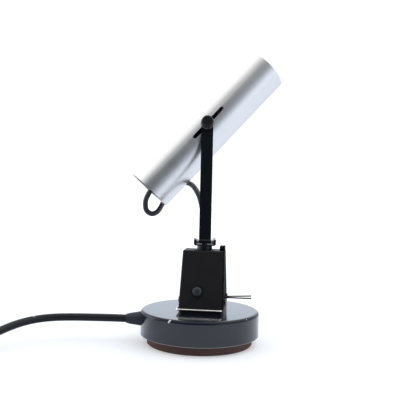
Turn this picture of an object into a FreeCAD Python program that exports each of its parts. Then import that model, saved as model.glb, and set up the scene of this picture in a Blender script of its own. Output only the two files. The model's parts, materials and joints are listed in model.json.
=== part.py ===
import FreeCAD, Part
import math
import os
from FreeCAD import Placement, Rotation, Vector
import Sketcher

# Tabletop searchlight lamp: a round weighted base, a tapered switch housing, a hinged
# arm that turns on the housing, and an aluminium tube that tilts and slides on the arm.
#
# Frame: the origin is the centre of the sole on the table, +Z is up, the switch faces -Y
# and the lamp shines towards +X and up. Sizes are in millimetres and degrees.
#
# Every moving group has a frame of its own (see "Frames"), and its pieces are drawn in it.

# Driving sizes
SIZES = {
    "base_diameter": 118.0,
    "shell_height": 24.0,
    "shell_wall": 1.6,
    "rim_radius": 3.0,
    "sole_diameter": 105.0,
    "sole_height": 9.0,
    "plate_thickness": 1.5,
    "base_play": 0.3,
    "wire_hole_diameter": 10.0,
    "lead_channel_width": 9.0,
    "screw_circle_radius": 42.0,
    "screw_shank_diameter": 3.2,
    "screw_head_diameter": 6.0,
    "screw_head_height": 2.0,
    "screw_length": 11.0,
    "tie_spacing": 28.0,
    "tie_length": 31.5,
    "tie_shank_diameter": 4.0,
    "tie_head_diameter": 7.2,
    "tie_head_height": 3.0,
    "tie_nut_width": 7.0,
    "tie_nut_height": 3.0,
    "hole_play": 0.1,
    "cord_diameter": 7.6,
    "cord_height": 23.5,
    "gland_length": 14.4,
    "gland_root_diameter": 14.4,
    "gland_tip_diameter": 10.4,
    "gland_collar_diameter": 9.4,
    "gland_collar_length": 2.4,
    "gland_neck_diameter": 10.2,
    "lead_bend_radius": 8.0,
    "pedestal_shift": 3.4,
    "foot_height": 5.8,
    "foot_wall": 4.0,
    "foot_floor": 2.5,
    "foot_corner_radius": 4.0,
    "foot_block_gap": 0.4,
    "foot_block_width": 5.0,
    "foot_block_length": 8.0,
    "foot_block_height": 12.5,
    "hood_width": 44.0,
    "hood_depth": 48.6,
    "hood_top_width": 41.0,
    "hood_top_depth": 23.0,
    "hood_height": 54.4,
    "hood_wall": 1.2,
    "hood_edge_radius": 1.4,
    "seam_gap": 0.1,
    "lip_length": 4.9,
    "lip_width": 14.0,
    "lip_height": 4.2,
    "hood_screw_spacing": 28.0,
    "hood_screw_height": 12.0,
    "hood_screw_diameter": 3.0,
    "hood_screw_length": 5.5,
    "hood_screw_head_diameter": 5.4,
    "hood_screw_head_height": 1.3,
    "switch_height": 21.0,
    "switch_shift": -4.2,
    "button_diameter": 9.2,
    "button_rise": 2.2,
    "button_dome": 1.6,
    "button_travel": 2.0,
    "button_depth": 7.0,
    "button_play": 0.3,
    "bezel_diameter": 11.4,
    "bezel_height": 1.4,
    "switch_body_diameter": 15.0,
    "switch_body_length": 12.0,
    "switch_neck_diameter": 11.6,
    "switch_recess": 0.1,
    "bail_wire_diameter": 1.9,
    "bail_height": 3.8,
    "bail_gap": 0.4,
    "bail_hole_depth": 3.2,
    "bail_pivot_x": 19.6,
    "bail_bend_radius": 2.6,
    "bail_end_bend_radius": 1.3,
    "lever_height": 13.1,
    "lever_pivot_x": 14.0,
    "lever_hub_diameter": 8.0,
    "lever_hub_length": 10.0,
    "lever_rod_diameter": 1.3,
    "lever_reach": 33.8,
    "lever_rod_inset": 2.3,
    "lever_side_gap": 0.5,
    "lever_slot_length": 12.0,
    "lever_slot_height": 6.4,
    "lever_pin_diameter": 3.0,
    "bracket_wall": 1.2,
    "bracket_length": 7.4,
    "chassis_thickness": 1.5,
    "chassis_tread": 9.0,
    "terminal_length": 18.0,
    "terminal_width": 13.0,
    "terminal_height": 10.0,
    "terminal_base": 18.0,
    "terminal_shift": 2.5,
    "terminal_screw_diameter": 2.8,
    "terminal_screw_length": 3.0,
    "swivel_bore_diameter": 6.4,
    "swivel_stem_diameter": 8.8,
    "swivel_flange_diameter": 15.0,
    "swivel_flange_height": 4.4,
    "running_play": 0.05,
    "swivel_gap": 0.3,
    "bush_barrel_diameter": 11.6,
    "bush_depth": 5.0,
    "stem_depth": 11.0,
    "spacer_diameter": 4.4,
    "clevis_width": 21.8,
    "clevis_depth": 21.0,
    "clevis_overhang": 11.0,
    "clevis_height": 6.1,
    "clevis_floor": 1.3,
    "clevis_ear": 2.4,
    "clevis_edge_radius": 2.2,
    "nut_width": 13.0,
    "nut_height": 3.2,
    "spring_washer_diameter": 15.0,
    "spring_washer_height": 1.2,
    "hinge_pin_diameter": 2.4,
    "hinge_setback": 5.6,
    "hinge_height": 8.6,
    "knuckle_diameter": 4.6,
    "arm_width": 12.0,
    "arm_thickness": 2.5,
    "arm_length": 120.2,
    "stud_diameter": 2.6,
    "washer_thickness": 0.8,
    "washer_diameter": 13.4,
    "spacer_thickness": 0.4,
    "stud_head_diameter": 5.2,
    "stud_head_height": 1.6,
    "stud_head_recess": 0.2,
    "stud_thread": 6.0,
    "knob_gap": 0.25,
    "knob_diameter": 11.9,
    "knob_length": 7.4,
    "knob_grips": 16,
    "knob_grip_diameter": 1.1,
    "tube_diameter": 48.7,
    "tube_wall": 1.2,
    "tube_front": 89.8,
    "tube_rear": 88.8,
    "tube_gap": 0.75,
    "slot_front": 23.6,
    "slot_rear": 20.5,
    "slot_width": 4.0,
    "clamp_length": 16.0,
    "clamp_width": 14.0,
    "clamp_thickness": 3.3,
    "clamp_play": 0.3,
    "key_length": 6.0,
    "key_play": 0.3,
    "carrier_position": 50.0,
    "carrier_thickness": 1.5,
    "carrier_flange": 6.0,
    "carrier_play": 0.2,
    "carrier_screw_diameter": 2.4,
    "carrier_head_diameter": 4.4,
    "carrier_head_height": 1.2,
    "nipple_diameter": 10.0,
    "nipple_length": 8.0,
    "cord_play": 0.3,
    "holder_nut_width": 15.0,
    "holder_nut_height": 3.0,
    "contact_diameter": 5.0,
    "contact_height": 1.5,
    "bulb_wall": 1.0,
    "holder_diameter": 27.0,
    "holder_length": 50.0,
    "socket_diameter": 15.2,
    "socket_depth": 18.5,
    "bulb_cap_diameter": 13.6,
    "bulb_cap_length": 16.5,
    "bulb_diameter": 38.6,
    "bulb_length": 50.0,
    "head_cord_diameter": 5.5,
    "head_cord_inset": 12.8,
    "coil_pitch": 8.2,
    "coil_inner_radius": 30.8,
    "coil_turns": 2,
    "plug_diameter": 28.0,
    "plug_length": 24.0,
    "plug_neck_length": 16.0,
    "plug_neck_diameter": 11.0,
    "prong_diameter": 4.8,
    "prong_length": 19.0,
    "prong_spacing": 19.0,
}

# Directions and the pose in which the lamp stands
GLAND_BEARING = 191.5
HEAD_PAN = 6.5
ARM_LEAN_BACK = 7.5
TUBE_TILT = 48.3
LEVER_UPPER_RISE = 3.2
LEVER_LOWER_RISE = 0.4
LEVER_ROD_SPREAD = 0.6
LEVER_UPPER_START = 0.55
LEVER_LOWER_START = -0.45

UP = Vector(0, 0, 1)
ALONG_X = Vector(1, 0, 0)
ALONG_Y = Vector(0, 1, 0)
MARGIN = 1.0

doc = FreeCAD.newDocument("searchlight_lamp")
sheet = doc.addObject("Spreadsheet::Sheet", "Sizes")
for row, (alias, number) in enumerate(SIZES.items(), start=1):
    sheet.set(f"A{row}", str(number))
    sheet.setAlias(f"A{row}", alias)
doc.recompute()


class Size:
    """A size that knows both its number and the sheet formula that gives it."""

    def __init__(self, number, formula):
        self.number = number
        self.formula = formula

    def _with(self, other, sign, number):
        text = other.formula if isinstance(other, Size) else str(other)
        return Size(number, f"({self.formula} {sign} {text})")

    def __add__(self, other):
        return self._with(other, "+", self.number + float(other))

    def __sub__(self, other):
        return self._with(other, "-", self.number - float(other))

    def __mul__(self, other):
        return self._with(other, "*", self.number * float(other))

    __radd__ = __add__
    __rmul__ = __mul__

    def __rsub__(self, other):
        return -self + other

    def __truediv__(self, other):
        return self._with(other, "/", self.number / float(other))

    def __neg__(self):
        return Size(-self.number, f"(-1 * {self.formula})")

    def __float__(self):
        return float(self.number)


def size(alias):
    return Size(SIZES[alias], f"Sizes.{alias}")


# Helpers for drawing

def bind(item, **values):
    """Set properties of an object, tied to the sheet where the value is a Size."""
    for name, value in values.items():
        if isinstance(value, Size):
            setattr(item, name, float(value))
            item.setExpression(name, value.formula)
        else:
            setattr(item, name, value)
    return item


def place(item, foot, turn=Rotation()):
    item.Placement = Placement(Vector(*(float(value) for value in foot)), turn)
    for axis, value in zip("xyz", foot):
        if isinstance(value, Size):
            item.setExpression(f"Placement.Base.{axis}", value.formula)
    return item


def cylinder(name, radius, length, foot=(0, 0, 0), axis=UP):
    item = bind(doc.addObject("Part::Cylinder", name), Radius=radius, Height=length)
    return place(item, foot, Rotation(UP, axis))


def cone(name, root_radius, tip_radius, length, foot=(0, 0, 0), axis=UP):
    item = doc.addObject("Part::Cone", name)
    bind(item, Radius1=root_radius, Radius2=tip_radius, Height=length)
    return place(item, foot, Rotation(UP, axis))


def block(name, length, width, height, foot=(0, 0, 0)):
    """A box that stands centred on its foot."""
    item = bind(doc.addObject("Part::Box", name), Length=length, Width=width, Height=height)
    x, y, z = foot
    return place(item, (length / -2 + x, width / -2 + y, z))


def join(name, *pieces):
    item = doc.addObject("Part::MultiFuse", name)
    item.Shapes = list(pieces)
    item.Refine = True
    return item


def cut(name, base, *tools):
    item = doc.addObject("Part::Cut", name)
    item.Base = base
    item.Tool = tools[0] if len(tools) == 1 else join(f"{name}_tools", *tools)
    return item


def common(name, first, second):
    item = doc.addObject("Part::MultiCommon", name)
    item.Shapes = [first, second]
    return item


def ring(name, outer_radius, inner_radius, length, foot=(0, 0, 0), axis=UP):
    solid = cylinder(f"{name}_outside", outer_radius, length, foot, axis)
    back = [value + float(step) for value, step in zip(as_sizes(foot), axis * -MARGIN)]
    bore = cylinder(f"{name}_bore", inner_radius, length + 2 * MARGIN, back, axis)
    return cut(name, solid, bore)


def as_sizes(values):
    return [value if isinstance(value, Size) else Size(float(value), repr(float(value)))
            for value in values]


def rounded(name, base, radius, chosen):
    """Round the edges of a solid for which chosen(edge) is true."""
    doc.recompute()
    item = doc.addObject("Part::Fillet", name)
    item.Base = base
    item.Edges = [(number, float(radius), float(radius))
                  for number, edge in enumerate(base.Shape.Edges, start=1) if chosen(edge)]
    return item


def wedge(name, bottom, top, height, foot):
    """A frustum with rectangular ends. bottom and top are (left, right, depth)."""
    item = doc.addObject("Part::Wedge", name)
    bind(item, Xmin=bottom[0], Xmax=bottom[1], Zmin=bottom[2] / -2, Zmax=bottom[2] / 2,
         X2min=top[0], X2max=top[1], Z2min=top[2] / -2, Z2max=top[2] / 2,
         Ymin=0.0, Ymax=height)
    return place(item, foot, Rotation(ALONG_X, 90))


def new_body(name):
    return doc.addObject("PartDesign::Body", name)


def new_sketch(body, name, role):
    sketch = body.newObject("Sketcher::SketchObject", name)
    plane = next(item for item in body.Origin.OriginFeatures if item.Role == role)
    sketch.AttachmentSupport = (plane, [""])
    sketch.MapMode = "FlatFace"
    return sketch


def hold(sketch, kind, geometry, point, value):
    """Fix one coordinate of a sketch point to a size, or to the axis when it is zero."""
    if float(value) == 0.0:
        axis = -2 if kind == "DistanceX" else -1
        sketch.addConstraint(Sketcher.Constraint("PointOnObject", geometry, point, axis))
        return
    number = sketch.addConstraint(
        Sketcher.Constraint(kind, -1, 1, geometry, point, float(value)))
    if isinstance(value, Size):
        sketch.setExpression(f"Constraints[{number}]", value.formula)


def outline(sketch, corners):
    """Draw a closed outline of straight edges through the corners."""
    first = len(sketch.Geometry)
    count = len(corners)
    points = [Vector(float(x), float(y), 0) for x, y in corners]
    for number in range(count):
        edge = Part.LineSegment(points[number], points[(number + 1) % count])
        sketch.addGeometry(edge, False)
    for number in range(count):
        following = first + (number + 1) % count
        sketch.addConstraint(
            Sketcher.Constraint("Coincident", first + number, 2, following, 1))
    for number, (x, y) in enumerate(corners):
        hold(sketch, "DistanceX", first + number, 1, x)
        hold(sketch, "DistanceY", first + number, 1, y)


def circle(sketch, radius, x=0.0, y=0.0):
    centre = Vector(float(x), float(y), 0)
    number = sketch.addGeometry(Part.Circle(centre, Vector(0, 0, 1), float(radius)), False)
    hold(sketch, "DistanceX", number, 3, x)
    hold(sketch, "DistanceY", number, 3, y)
    limit = sketch.addConstraint(Sketcher.Constraint("Radius", number, float(radius)))
    if isinstance(radius, Size):
        sketch.setExpression(f"Constraints[{limit}]", radius.formula)


def turned(name, corners, axis):
    """A body turned from its outline, in the XZ plane, about H_Axis or V_Axis."""
    body = new_body(name)
    sketch = new_sketch(body, f"{name}_outline", "XZ_Plane")
    outline(sketch, corners)
    feature = body.newObject("PartDesign::Revolution", f"{name}_turned")
    feature.Profile = sketch
    feature.ReferenceAxis = (sketch, [axis])
    feature.Angle = 360.0
    return body


def edge_names(shape, chosen):
    return [f"Edge{number}" for number, edge in enumerate(shape.Edges, start=1)
            if chosen(edge)]


def is_circle(edge, radius, height, axis="z"):
    curve = edge.Curve
    return (isinstance(curve, Part.Circle) and abs(curve.Radius - float(radius)) < 1e-4
            and abs(getattr(curve.Center, axis) - float(height)) < 1e-4)


NODES = []


def node(item, label, frame=Placement()):
    """Name a finished piece and put it in the frame of its group."""
    if not item.Placement.isIdentity():
        item.Label = f"{label}_solid"
        single = doc.addObject("Part::Compound", f"{label}_placed")
        single.Links = [item]
        item = single
    item.Label = label
    item.Placement = frame
    NODES.append(item)
    return item


# Sizes that several pieces share
base_radius = size("base_diameter") / 2
shell_wall = size("shell_wall")
sole_height = size("sole_height")
base_top = sole_height + size("shell_height")
inside_radius = base_radius - shell_wall
ballast_radius = inside_radius - size("base_play")
plate_top = sole_height + size("plate_thickness")
ballast_top = base_top - shell_wall
wire_hole_radius = size("wire_hole_diameter") / 2
tie_hole_radius = size("tie_shank_diameter") / 2 + size("hole_play")
screw_hole_radius = size("screw_shank_diameter") / 2 + size("hole_play")
cord_radius = size("cord_diameter") / 2
pedestal_shift = size("pedestal_shift")
tie_places = tuple((pedestal_shift, size("tie_spacing") / side) for side in (2, -2))

foot_height = size("foot_height")
foot_floor = size("foot_floor")
hood_wall = size("hood_wall")
hood_height = size("hood_height")
hood_half_width = size("hood_width") / 2
hood_half_top = size("hood_top_width") / 2
hood_top = foot_height + hood_height
front_slope = math.degrees(math.atan2(
    float(size("hood_depth") - size("hood_top_depth")) / 2, float(hood_height)))

stem_radius = size("swivel_stem_diameter") / 2
bush_bore_radius = stem_radius + size("running_play")
clevis_base = size("swivel_flange_height") + size("swivel_gap")
clevis_floor_top = clevis_base + size("clevis_floor")
arm_half = size("arm_thickness") / 2
pin_radius = size("hinge_pin_diameter") / 2
stud_radius = size("stud_diameter") / 2
tube_radius = size("tube_diameter") / 2
tube_inside = tube_radius - size("tube_wall")
tube_offset = arm_half + size("tube_gap") + tube_radius
carrier_place = -size("carrier_position")

# Frames
BASE = Placement()
GLAND = Placement(
    Vector(float(base_radius) * math.cos(math.radians(GLAND_BEARING)),
           float(base_radius) * math.sin(math.radians(GLAND_BEARING)),
           float(size("cord_height"))),
    Rotation(UP, GLAND_BEARING))
PEDESTAL = Placement(Vector(float(pedestal_shift), 0, float(base_top)), Rotation())


def front_at(height):
    """Half depth of the hood's outside at a height above the base top."""
    rise = float(height - foot_height) / float(hood_height)
    return float(size("hood_depth")) / 2 * (1 - rise) + float(size("hood_top_depth")) / 2 * rise


SWITCH = PEDESTAL * Placement(
    Vector(float(size("switch_shift")), -front_at(size("switch_height")),
           float(size("switch_height"))),
    Rotation(ALONG_X, 90 - front_slope))
SWIVEL = PEDESTAL * Placement(Vector(0, 0, float(hood_top)), Rotation())
CLEVIS = SWIVEL * Placement(Vector(), Rotation(UP, HEAD_PAN))
ARM = CLEVIS * Placement(
    Vector(0, -float(size("hinge_setback")), float(size("hinge_height"))),
    Rotation(ALONG_X, -ARM_LEAN_BACK))
TILT = ARM * Placement(Vector(0, 0, float(size("arm_length"))), Rotation(ALONG_Y, -TUBE_TILT))
TUBE = TILT * Placement(Vector(0, float(tube_offset), 0), Rotation())


# Base

def make_base_shell():
    """Enamelled cup with a rounded rim, open below, over the ballast."""
    body = turned("shell_cup", [
        (0.0, base_top), (base_radius, base_top), (base_radius, sole_height),
        (inside_radius, sole_height), (inside_radius, ballast_top), (0.0, ballast_top)], "V_Axis")
    doc.recompute()
    cup = body.Tip
    rim = body.newObject("PartDesign::Fillet", "shell_rim")
    rim.Base = (cup, edge_names(cup.Shape, lambda edge: is_circle(edge, base_radius, base_top)))
    bind(rim, Radius=size("rim_radius"))
    doc.recompute()
    inner = body.newObject("PartDesign::Fillet", "shell_inner_rim")
    inner.Base = (rim, edge_names(rim.Shape, lambda edge: is_circle(
        edge, inside_radius, ballast_top)))
    bind(inner, Radius=size("rim_radius") - shell_wall)
    holes = [cylinder("shell_wire_hole", wire_hole_radius, shell_wall + 2 * MARGIN,
                      (0, 0, ballast_top - MARGIN))]
    for number, (x, y) in enumerate(tie_places, start=1):
        holes.append(cylinder(f"shell_tie_hole_{number}", tie_hole_radius,
                              shell_wall + 2 * MARGIN, (x, y, ballast_top - MARGIN)))
    gland_hole = cylinder("shell_gland_hole",
                          size("gland_neck_diameter") / 2 + size("hole_play"),
                          shell_wall + 4 * MARGIN, axis=ALONG_X)
    gland_hole.Placement = GLAND * Placement(
        Vector(-float(shell_wall) - 2 * MARGIN, 0, 0), Rotation(UP, ALONG_X))
    node(cut("base_shell", body, *holes, gland_hole), "base_shell", BASE)


def make_ballast():
    """Cast weight with a channel for the lead from the gland to the middle."""
    weight = cylinder("ballast_blank", ballast_radius, ballast_top - plate_top, (0, 0, plate_top))
    crown = cone("ballast_crown", ballast_radius + 2 * MARGIN, ballast_radius - 2 * MARGIN,
                 Size(4 * MARGIN, repr(4 * MARGIN)), (0, 0, ballast_top - 3 * MARGIN))
    rim_keep = cylinder("ballast_keep", base_radius, ballast_top - plate_top - 3 * MARGIN,
                        (0, 0, plate_top))
    blank = common("ballast_body", weight, join("ballast_envelope", crown, rim_keep))
    lead_floor = size("cord_height") - cord_radius - size("hole_play")
    channel = bind(doc.addObject("Part::Box", "ballast_channel"), Length=base_radius,
                   Width=size("lead_channel_width"), Height=base_top - lead_floor)
    channel.Placement = Placement(Vector(), Rotation(UP, GLAND_BEARING)) * Placement(
        Vector(0, -float(size("lead_channel_width")) / 2, float(lead_floor)), Rotation())
    flange_room = cylinder("ballast_flange_room", size("gland_root_diameter") / 2,
                           4 * size("hole_play") + 6 * MARGIN, axis=ALONG_X)
    flange_room.Placement = GLAND * Placement(
        Vector(-float(shell_wall) - 6 * MARGIN, 0, 0), Rotation(UP, ALONG_X))
    well = cylinder("ballast_well", wire_hole_radius, base_top - lead_floor, (0, 0, lead_floor))
    cuts = [channel, flange_room, well]
    depth = ballast_top - plate_top + 2 * MARGIN
    for number, (x, y) in enumerate(tie_places, start=1):
        cuts.append(cylinder(f"ballast_tie_hole_{number}", tie_hole_radius, depth,
                             (x, y, plate_top - MARGIN)))
    for number, (x, y) in enumerate(screw_places(), start=1):
        cuts.append(cylinder(f"ballast_screw_hole_{number}", screw_hole_radius,
                             size("screw_length") + MARGIN, (x, y, plate_top - MARGIN)))
    node(cut("ballast", blank, *cuts), "ballast", BASE)


def screw_places():
    """The three base screws, on a circle, clear of the gland's channel."""
    radius = size("screw_circle_radius")
    return [(radius * round(math.cos(math.radians(bearing)), 6),
             radius * round(math.sin(math.radians(bearing)), 6))
            for bearing in (30.0, 150.0, 270.0)]


def make_bottom_plate():
    plate = cylinder("bottom_plate_blank", ballast_radius, size("plate_thickness"),
                     (0, 0, sole_height))
    holes = []
    depth = size("plate_thickness") + 2 * MARGIN
    for number, (x, y) in enumerate(tie_places, start=1):
        holes.append(cylinder(f"plate_tie_hole_{number}", tie_hole_radius, depth,
                              (x, y, sole_height - MARGIN)))
    for number, (x, y) in enumerate(screw_places(), start=1):
        holes.append(cylinder(f"plate_screw_hole_{number}", screw_hole_radius, depth,
                              (x, y, sole_height - MARGIN)))
    node(cut("bottom_plate", plate, *holes), "bottom_plate", BASE)


def make_sole():
    """Wooden sole on which the lamp stands, open under each screw."""
    radius = size("sole_diameter") / 2
    softened = 0.6
    disc = turned("sole_disc", [
        (0.0, 0.0), (radius - softened, 0.0), (radius, Size(softened, repr(softened))),
        (radius, sole_height), (0.0, sole_height)], "V_Axis")
    holes = []
    depth = sole_height + 2 * MARGIN
    for number, (x, y) in enumerate(tie_places, start=1):
        holes.append(cylinder(f"sole_tie_hole_{number}",
                              size("tie_head_diameter") / 2 + size("base_play"), depth,
                              (x, y, -MARGIN)))
    for number, (x, y) in enumerate(screw_places(), start=1):
        holes.append(cylinder(f"sole_screw_hole_{number}",
                              size("screw_head_diameter") / 2 + size("base_play"), depth,
                              (x, y, -MARGIN)))
    node(cut("sole", disc, *holes), "sole", BASE)


def make_base_screws():
    pieces = []
    for number, (x, y) in enumerate(screw_places(), start=1):
        head = cylinder(f"base_screw_head_{number}", size("screw_head_diameter") / 2,
                        size("screw_head_height"), (x, y, sole_height - size("screw_head_height")))
        shank = cylinder(f"base_screw_shank_{number}", size("screw_shank_diameter") / 2,
                         size("screw_length"), (x, y, sole_height))
        pieces.append(join(f"base_screw_{number}", head, shank))
    node(join("base_screws", *pieces), "base_screws", BASE)


def make_tie_bolts():
    """Two long bolts that hold the housing's foot down on the base."""
    pieces = []
    for number, (x, y) in enumerate(tie_places, start=1):
        head = cylinder(f"tie_bolt_head_{number}", size("tie_head_diameter") / 2,
                        size("tie_head_height"), (x, y, sole_height - size("tie_head_height")))
        shank = cylinder(f"tie_bolt_shank_{number}", size("tie_shank_diameter") / 2,
                         size("tie_length"), (x, y, sole_height))
        pieces.append(join(f"tie_bolt_{number}", head, shank))
    node(join("tie_bolts", *pieces), "tie_bolts", BASE)


def make_gland():
    """Tapered rubber strain relief that seats on the shell's wall, with a flange inside."""
    neck = size("gland_neck_diameter") / 2
    root = size("gland_root_diameter") / 2
    tip = size("gland_tip_diameter") / 2
    collar = size("gland_collar_diameter") / 2
    bore = cord_radius + size("hole_play")
    taper_end = size("gland_length") - size("gland_collar_length")
    taper = turned("gland_taper", [
        (Size(-MARGIN, repr(-MARGIN)), bore), (Size(-MARGIN, repr(-MARGIN)), root),
        (taper_end, tip), (taper_end, collar), (size("gland_length"), collar),
        (size("gland_length"), bore)], "H_Axis")
    seat = cylinder("gland_seat", base_radius + size("running_play"), base_top)
    seat.Placement = GLAND.inverse() * seat.Placement
    inside = turned("gland_inside", [
        (-shell_wall - 3.0, bore), (-shell_wall - 3.0, root), (-shell_wall - 0.8, root),
        (-shell_wall - 0.8, neck), (Size(MARGIN, repr(MARGIN)), neck),
        (Size(MARGIN, repr(MARGIN)), bore)], "H_Axis")
    node(join("gland_solid", cut("gland_outside", taper, seat), inside), "cord_gland", GLAND)


# Cords

def route_wire(points, name, bends=()):
    """Straight runs joined by tangent arcs, as wide as the runs allow unless bends are given."""
    edges = []
    radii = []
    start = points[0]
    for number, (last, corner, following) in enumerate(zip(points, points[1:], points[2:])):
        arriving = corner - last
        leaving = following - corner
        half_turn = arriving.getAngle(leaving) / 2
        shorter = min(arriving.Length, leaving.Length)
        bend = bends[number] if bends else 0.45 * shorter / math.tan(half_turn)
        reach = bend * math.tan(half_turn)
        arriving.normalize()
        leaving.normalize()
        enter = corner - arriving * reach
        leave = corner + leaving * reach
        middle = corner + (leaving - arriving).normalize() * (bend / math.cos(half_turn) - bend)
        edges.append(Part.LineSegment(start, enter).toShape())
        edges.append(Part.Arc(enter, middle, leave).toShape())
        radii.append(round(bend, 1))
        start = leave
    edges.append(Part.LineSegment(start, points[-1]).toShape())
    print(f"{name}: least bend radius {min(radii)} mm of {radii}")
    return Part.Wire(edges)


def swept(path, diameter, name):
    """A round cord along a path, checked against its section times its length."""
    start = path.Edges[0]
    direction = start.tangentAt(start.FirstParameter)
    profile = Part.Wire(Part.Circle(start.valueAt(start.FirstParameter), direction,
                                    float(diameter) / 2).toShape())
    solid = path.makePipeShell([profile], True, False)
    expected = math.pi * float(diameter) ** 2 / 4 * path.Length
    print(f"{name}: length {path.Length:.0f} mm, volume {solid.Volume / expected:.4f} of expected")
    return solid


def shape_node(label, shape, frame=Placement()):
    item = doc.addObject("Part::Feature", label)
    item.Shape = shape
    node(item, label, frame)


GLAND_MOUTH = GLAND.multVec(Vector(float(size("gland_length")), 0, 0))

# The flex from the gland to the coil, chosen by hand, then the coil's centre
MAINS_ROUTE = [
    GLAND_MOUTH,
    GLAND.multVec(Vector(float(size("gland_length") + size("gland_root_diameter")), 0, 0.5)),
    Vector(-104.0, -17.5, 23.6),
    Vector(-128.5, -19.0, 23.2),
    Vector(-148.5, -23.5, 22.6),
    Vector(-164.0, -34.5, 21.4),
    Vector(-174.0, -52.0, 19.6),
    Vector(-181.0, -74.0, 17.0),
    Vector(-195.0, -97.0, 12.0),
    Vector(-216.0, -112.4, 6.6),
    Vector(-241.0, -116.0, 3.9),
    Vector(-267.0, -116.0, 3.9),
]
COIL_START = MAINS_ROUTE[-1]


def coil_path():
    """Two layers of turns: a spiral inwards on the table, a climb, and one outwards.

    Each half turn is an arc, and its radius changes by half the pitch from one half turn
    to the next, so the centres alternate between two points a half pitch apart.
    """
    pitch = float(size("coil_pitch"))
    turns = int(SIZES["coil_turns"])
    inner = float(size("coil_inner_radius"))
    halves = 2 * turns
    radii = [inner + pitch / 2 * step for step in range(halves, 0, -1)]
    edges = []
    side = 1.0
    point = COIL_START
    edges.append(Part.LineSegment(point, point - ALONG_X * float(size("cord_diameter"))).toShape())
    point = point - ALONG_X * float(size("cord_diameter"))
    for radius in radii:
        far = point + ALONG_Y * (2 * radius * side)
        bulge = point + ALONG_Y * (radius * side) - ALONG_X * (radius * side)
        edges.append(Part.Arc(point, bulge, far).toShape())
        point = far
        side = -side
    radius = inner
    top = point + ALONG_Y * (2 * radius * side) + UP * pitch
    reach = math.hypot(radius, pitch / 2)
    crest = (point + top) / 2 - ALONG_X * (reach * side)
    for start, end, heading in ((point, crest, -ALONG_X * side), (top, crest, -ALONG_X * side)):
        chord = end - start
        arc_turn = 2 * chord.getAngle(heading)
        bow = chord.Length / 2 * math.tan(arc_turn / 4)
        across = (heading - chord * (heading.dot(chord) / chord.dot(chord))).normalize()
        middle = (start + end) / 2 + across * bow
        first, last = (start, end) if start is point else (end, start)
        edges.append(Part.Arc(first, middle, last).toShape())
    point = top
    side = -side
    for radius in reversed(radii):
        far = point + ALONG_Y * (2 * radius * side)
        bulge = point + ALONG_Y * (radius * side) - ALONG_X * (radius * side)
        edges.append(Part.Arc(point, bulge, far).toShape())
        point = far
        side = -side
    finish = point - ALONG_X * (float(size("cord_diameter")) * side)
    edges.append(Part.LineSegment(point, finish).toShape())
    return Part.Wire(edges), finish, -ALONG_X * side


def print_self_gap(path, diameter, name):
    """Least gap between stretches of a wound cord that are over a quarter turn apart."""
    step = 2.0
    points = path.discretize(Distance=step)
    apart = int(1.5 * float(size("coil_inner_radius")) / step)
    least = min(
        (first - second).Length
        for number, first in enumerate(points) for second in points[number + apart:])
    print(f"{name}: least gap to itself {least - float(diameter):.2f} mm")


def make_mains():
    flex = float(size("cord_diameter"))
    shape_node("mains_cord", swept(route_wire(MAINS_ROUTE, "mains_cord"), flex, "mains_cord"))
    path, finish, heading = coil_path()
    print_self_gap(path, flex, "mains_coil")
    shape_node("mains_coil", swept(path, flex, "mains_coil"))
    plug_height = float(size("plug_diameter")) / 2 + 0.1
    steps = [(0, 0), (15, 0), (30.6, 9), (39.6, 24.6), (39.6, 42.6), (30.6, 58.2), (15, 67.2),
             (-2, 67.2)]
    rises = [0.0, 0.0, 0.3, 0.6, 0.9, 1.0, 1.0, 1.0]
    tail = [finish + heading * along + ALONG_Y * aside + UP * rise * (plug_height - finish.z)
            for (along, aside), rise in zip(steps, rises)]
    shape_node("mains_tail", swept(route_wire(tail, "mains_tail"), flex, "mains_tail"))
    outward = (tail[-1] - tail[-2]).normalize()
    plug = Placement(tail[-1], Rotation(ALONG_X, outward))
    make_plug(plug)
    return plug


def make_plug(frame):
    """Round two-pin plug on the cord's end; its axis is the cord's."""
    neck = size("plug_neck_diameter") / 2
    radius = size("plug_diameter") / 2
    shoulder = size("plug_neck_length")
    end = shoulder + size("plug_length")
    node(turned("plug_solid", [
        (0.0, 0.0), (0.0, neck), (shoulder * 0.55, neck + 1.2), (shoulder, radius - 2.0),
        (shoulder + 3.0, radius), (end - 2.0, radius), (end, radius - 1.5), (end, 0.0)],
        "H_Axis"), "mains_plug", frame)
    prong = size("prong_diameter") / 2
    half = size("prong_spacing") / 2
    pieces = [join(f"prong_{number}",
                   cylinder(f"prong_shank_{number}", prong, size("prong_length") - prong,
                            (end, y, 0), ALONG_X),
                   bind(place(doc.addObject("Part::Sphere", f"prong_tip_{number}"),
                              (end + size("prong_length") - prong, y, 0)), Radius=prong))
              for number, y in enumerate((half, -half), start=1)]
    node(join("plug_prongs", *pieces), "plug_prongs", frame)


def make_inner_lead():
    """The flex inside the lamp, from the gland's mouth up to the terminal block."""
    middle = Vector(0, 0, float(size("cord_height")))
    top = Vector(0, 0, float(base_top + size("terminal_base")))
    path = route_wire([GLAND_MOUTH, middle, top], "inner_lead",
                      [float(size("lead_bend_radius"))])
    shape_node("inner_lead", swept(path, size("cord_diameter"), "inner_lead"))


# Housing, in the pedestal frame

def on_frame(item, frame, depth=0.0):
    """Put a piece on a frame, a depth along the frame's Z."""
    item.Placement = frame * Placement(Vector(0, 0, float(depth)), Rotation())
    return item


def side_frame(side, y):
    """Frame on the outside of a side wall at the screws' height, Z pointing outwards."""
    rise = float(size("hood_screw_height") - foot_height) / float(hood_height)
    x = float(hood_half_width) * (1 - rise) + float(hood_half_top) * rise
    slope = float(hood_half_width - hood_half_top) / float(hood_height)
    return Placement(Vector(side * x, float(y), float(size("hood_screw_height"))),
                     Rotation(UP, Vector(side, 0, slope)))


HOOD_SCREW_FRAMES = [
    side_frame(side, size("hood_screw_spacing") / end) for side in (-1, 1) for end in (2, -2)]


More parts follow.
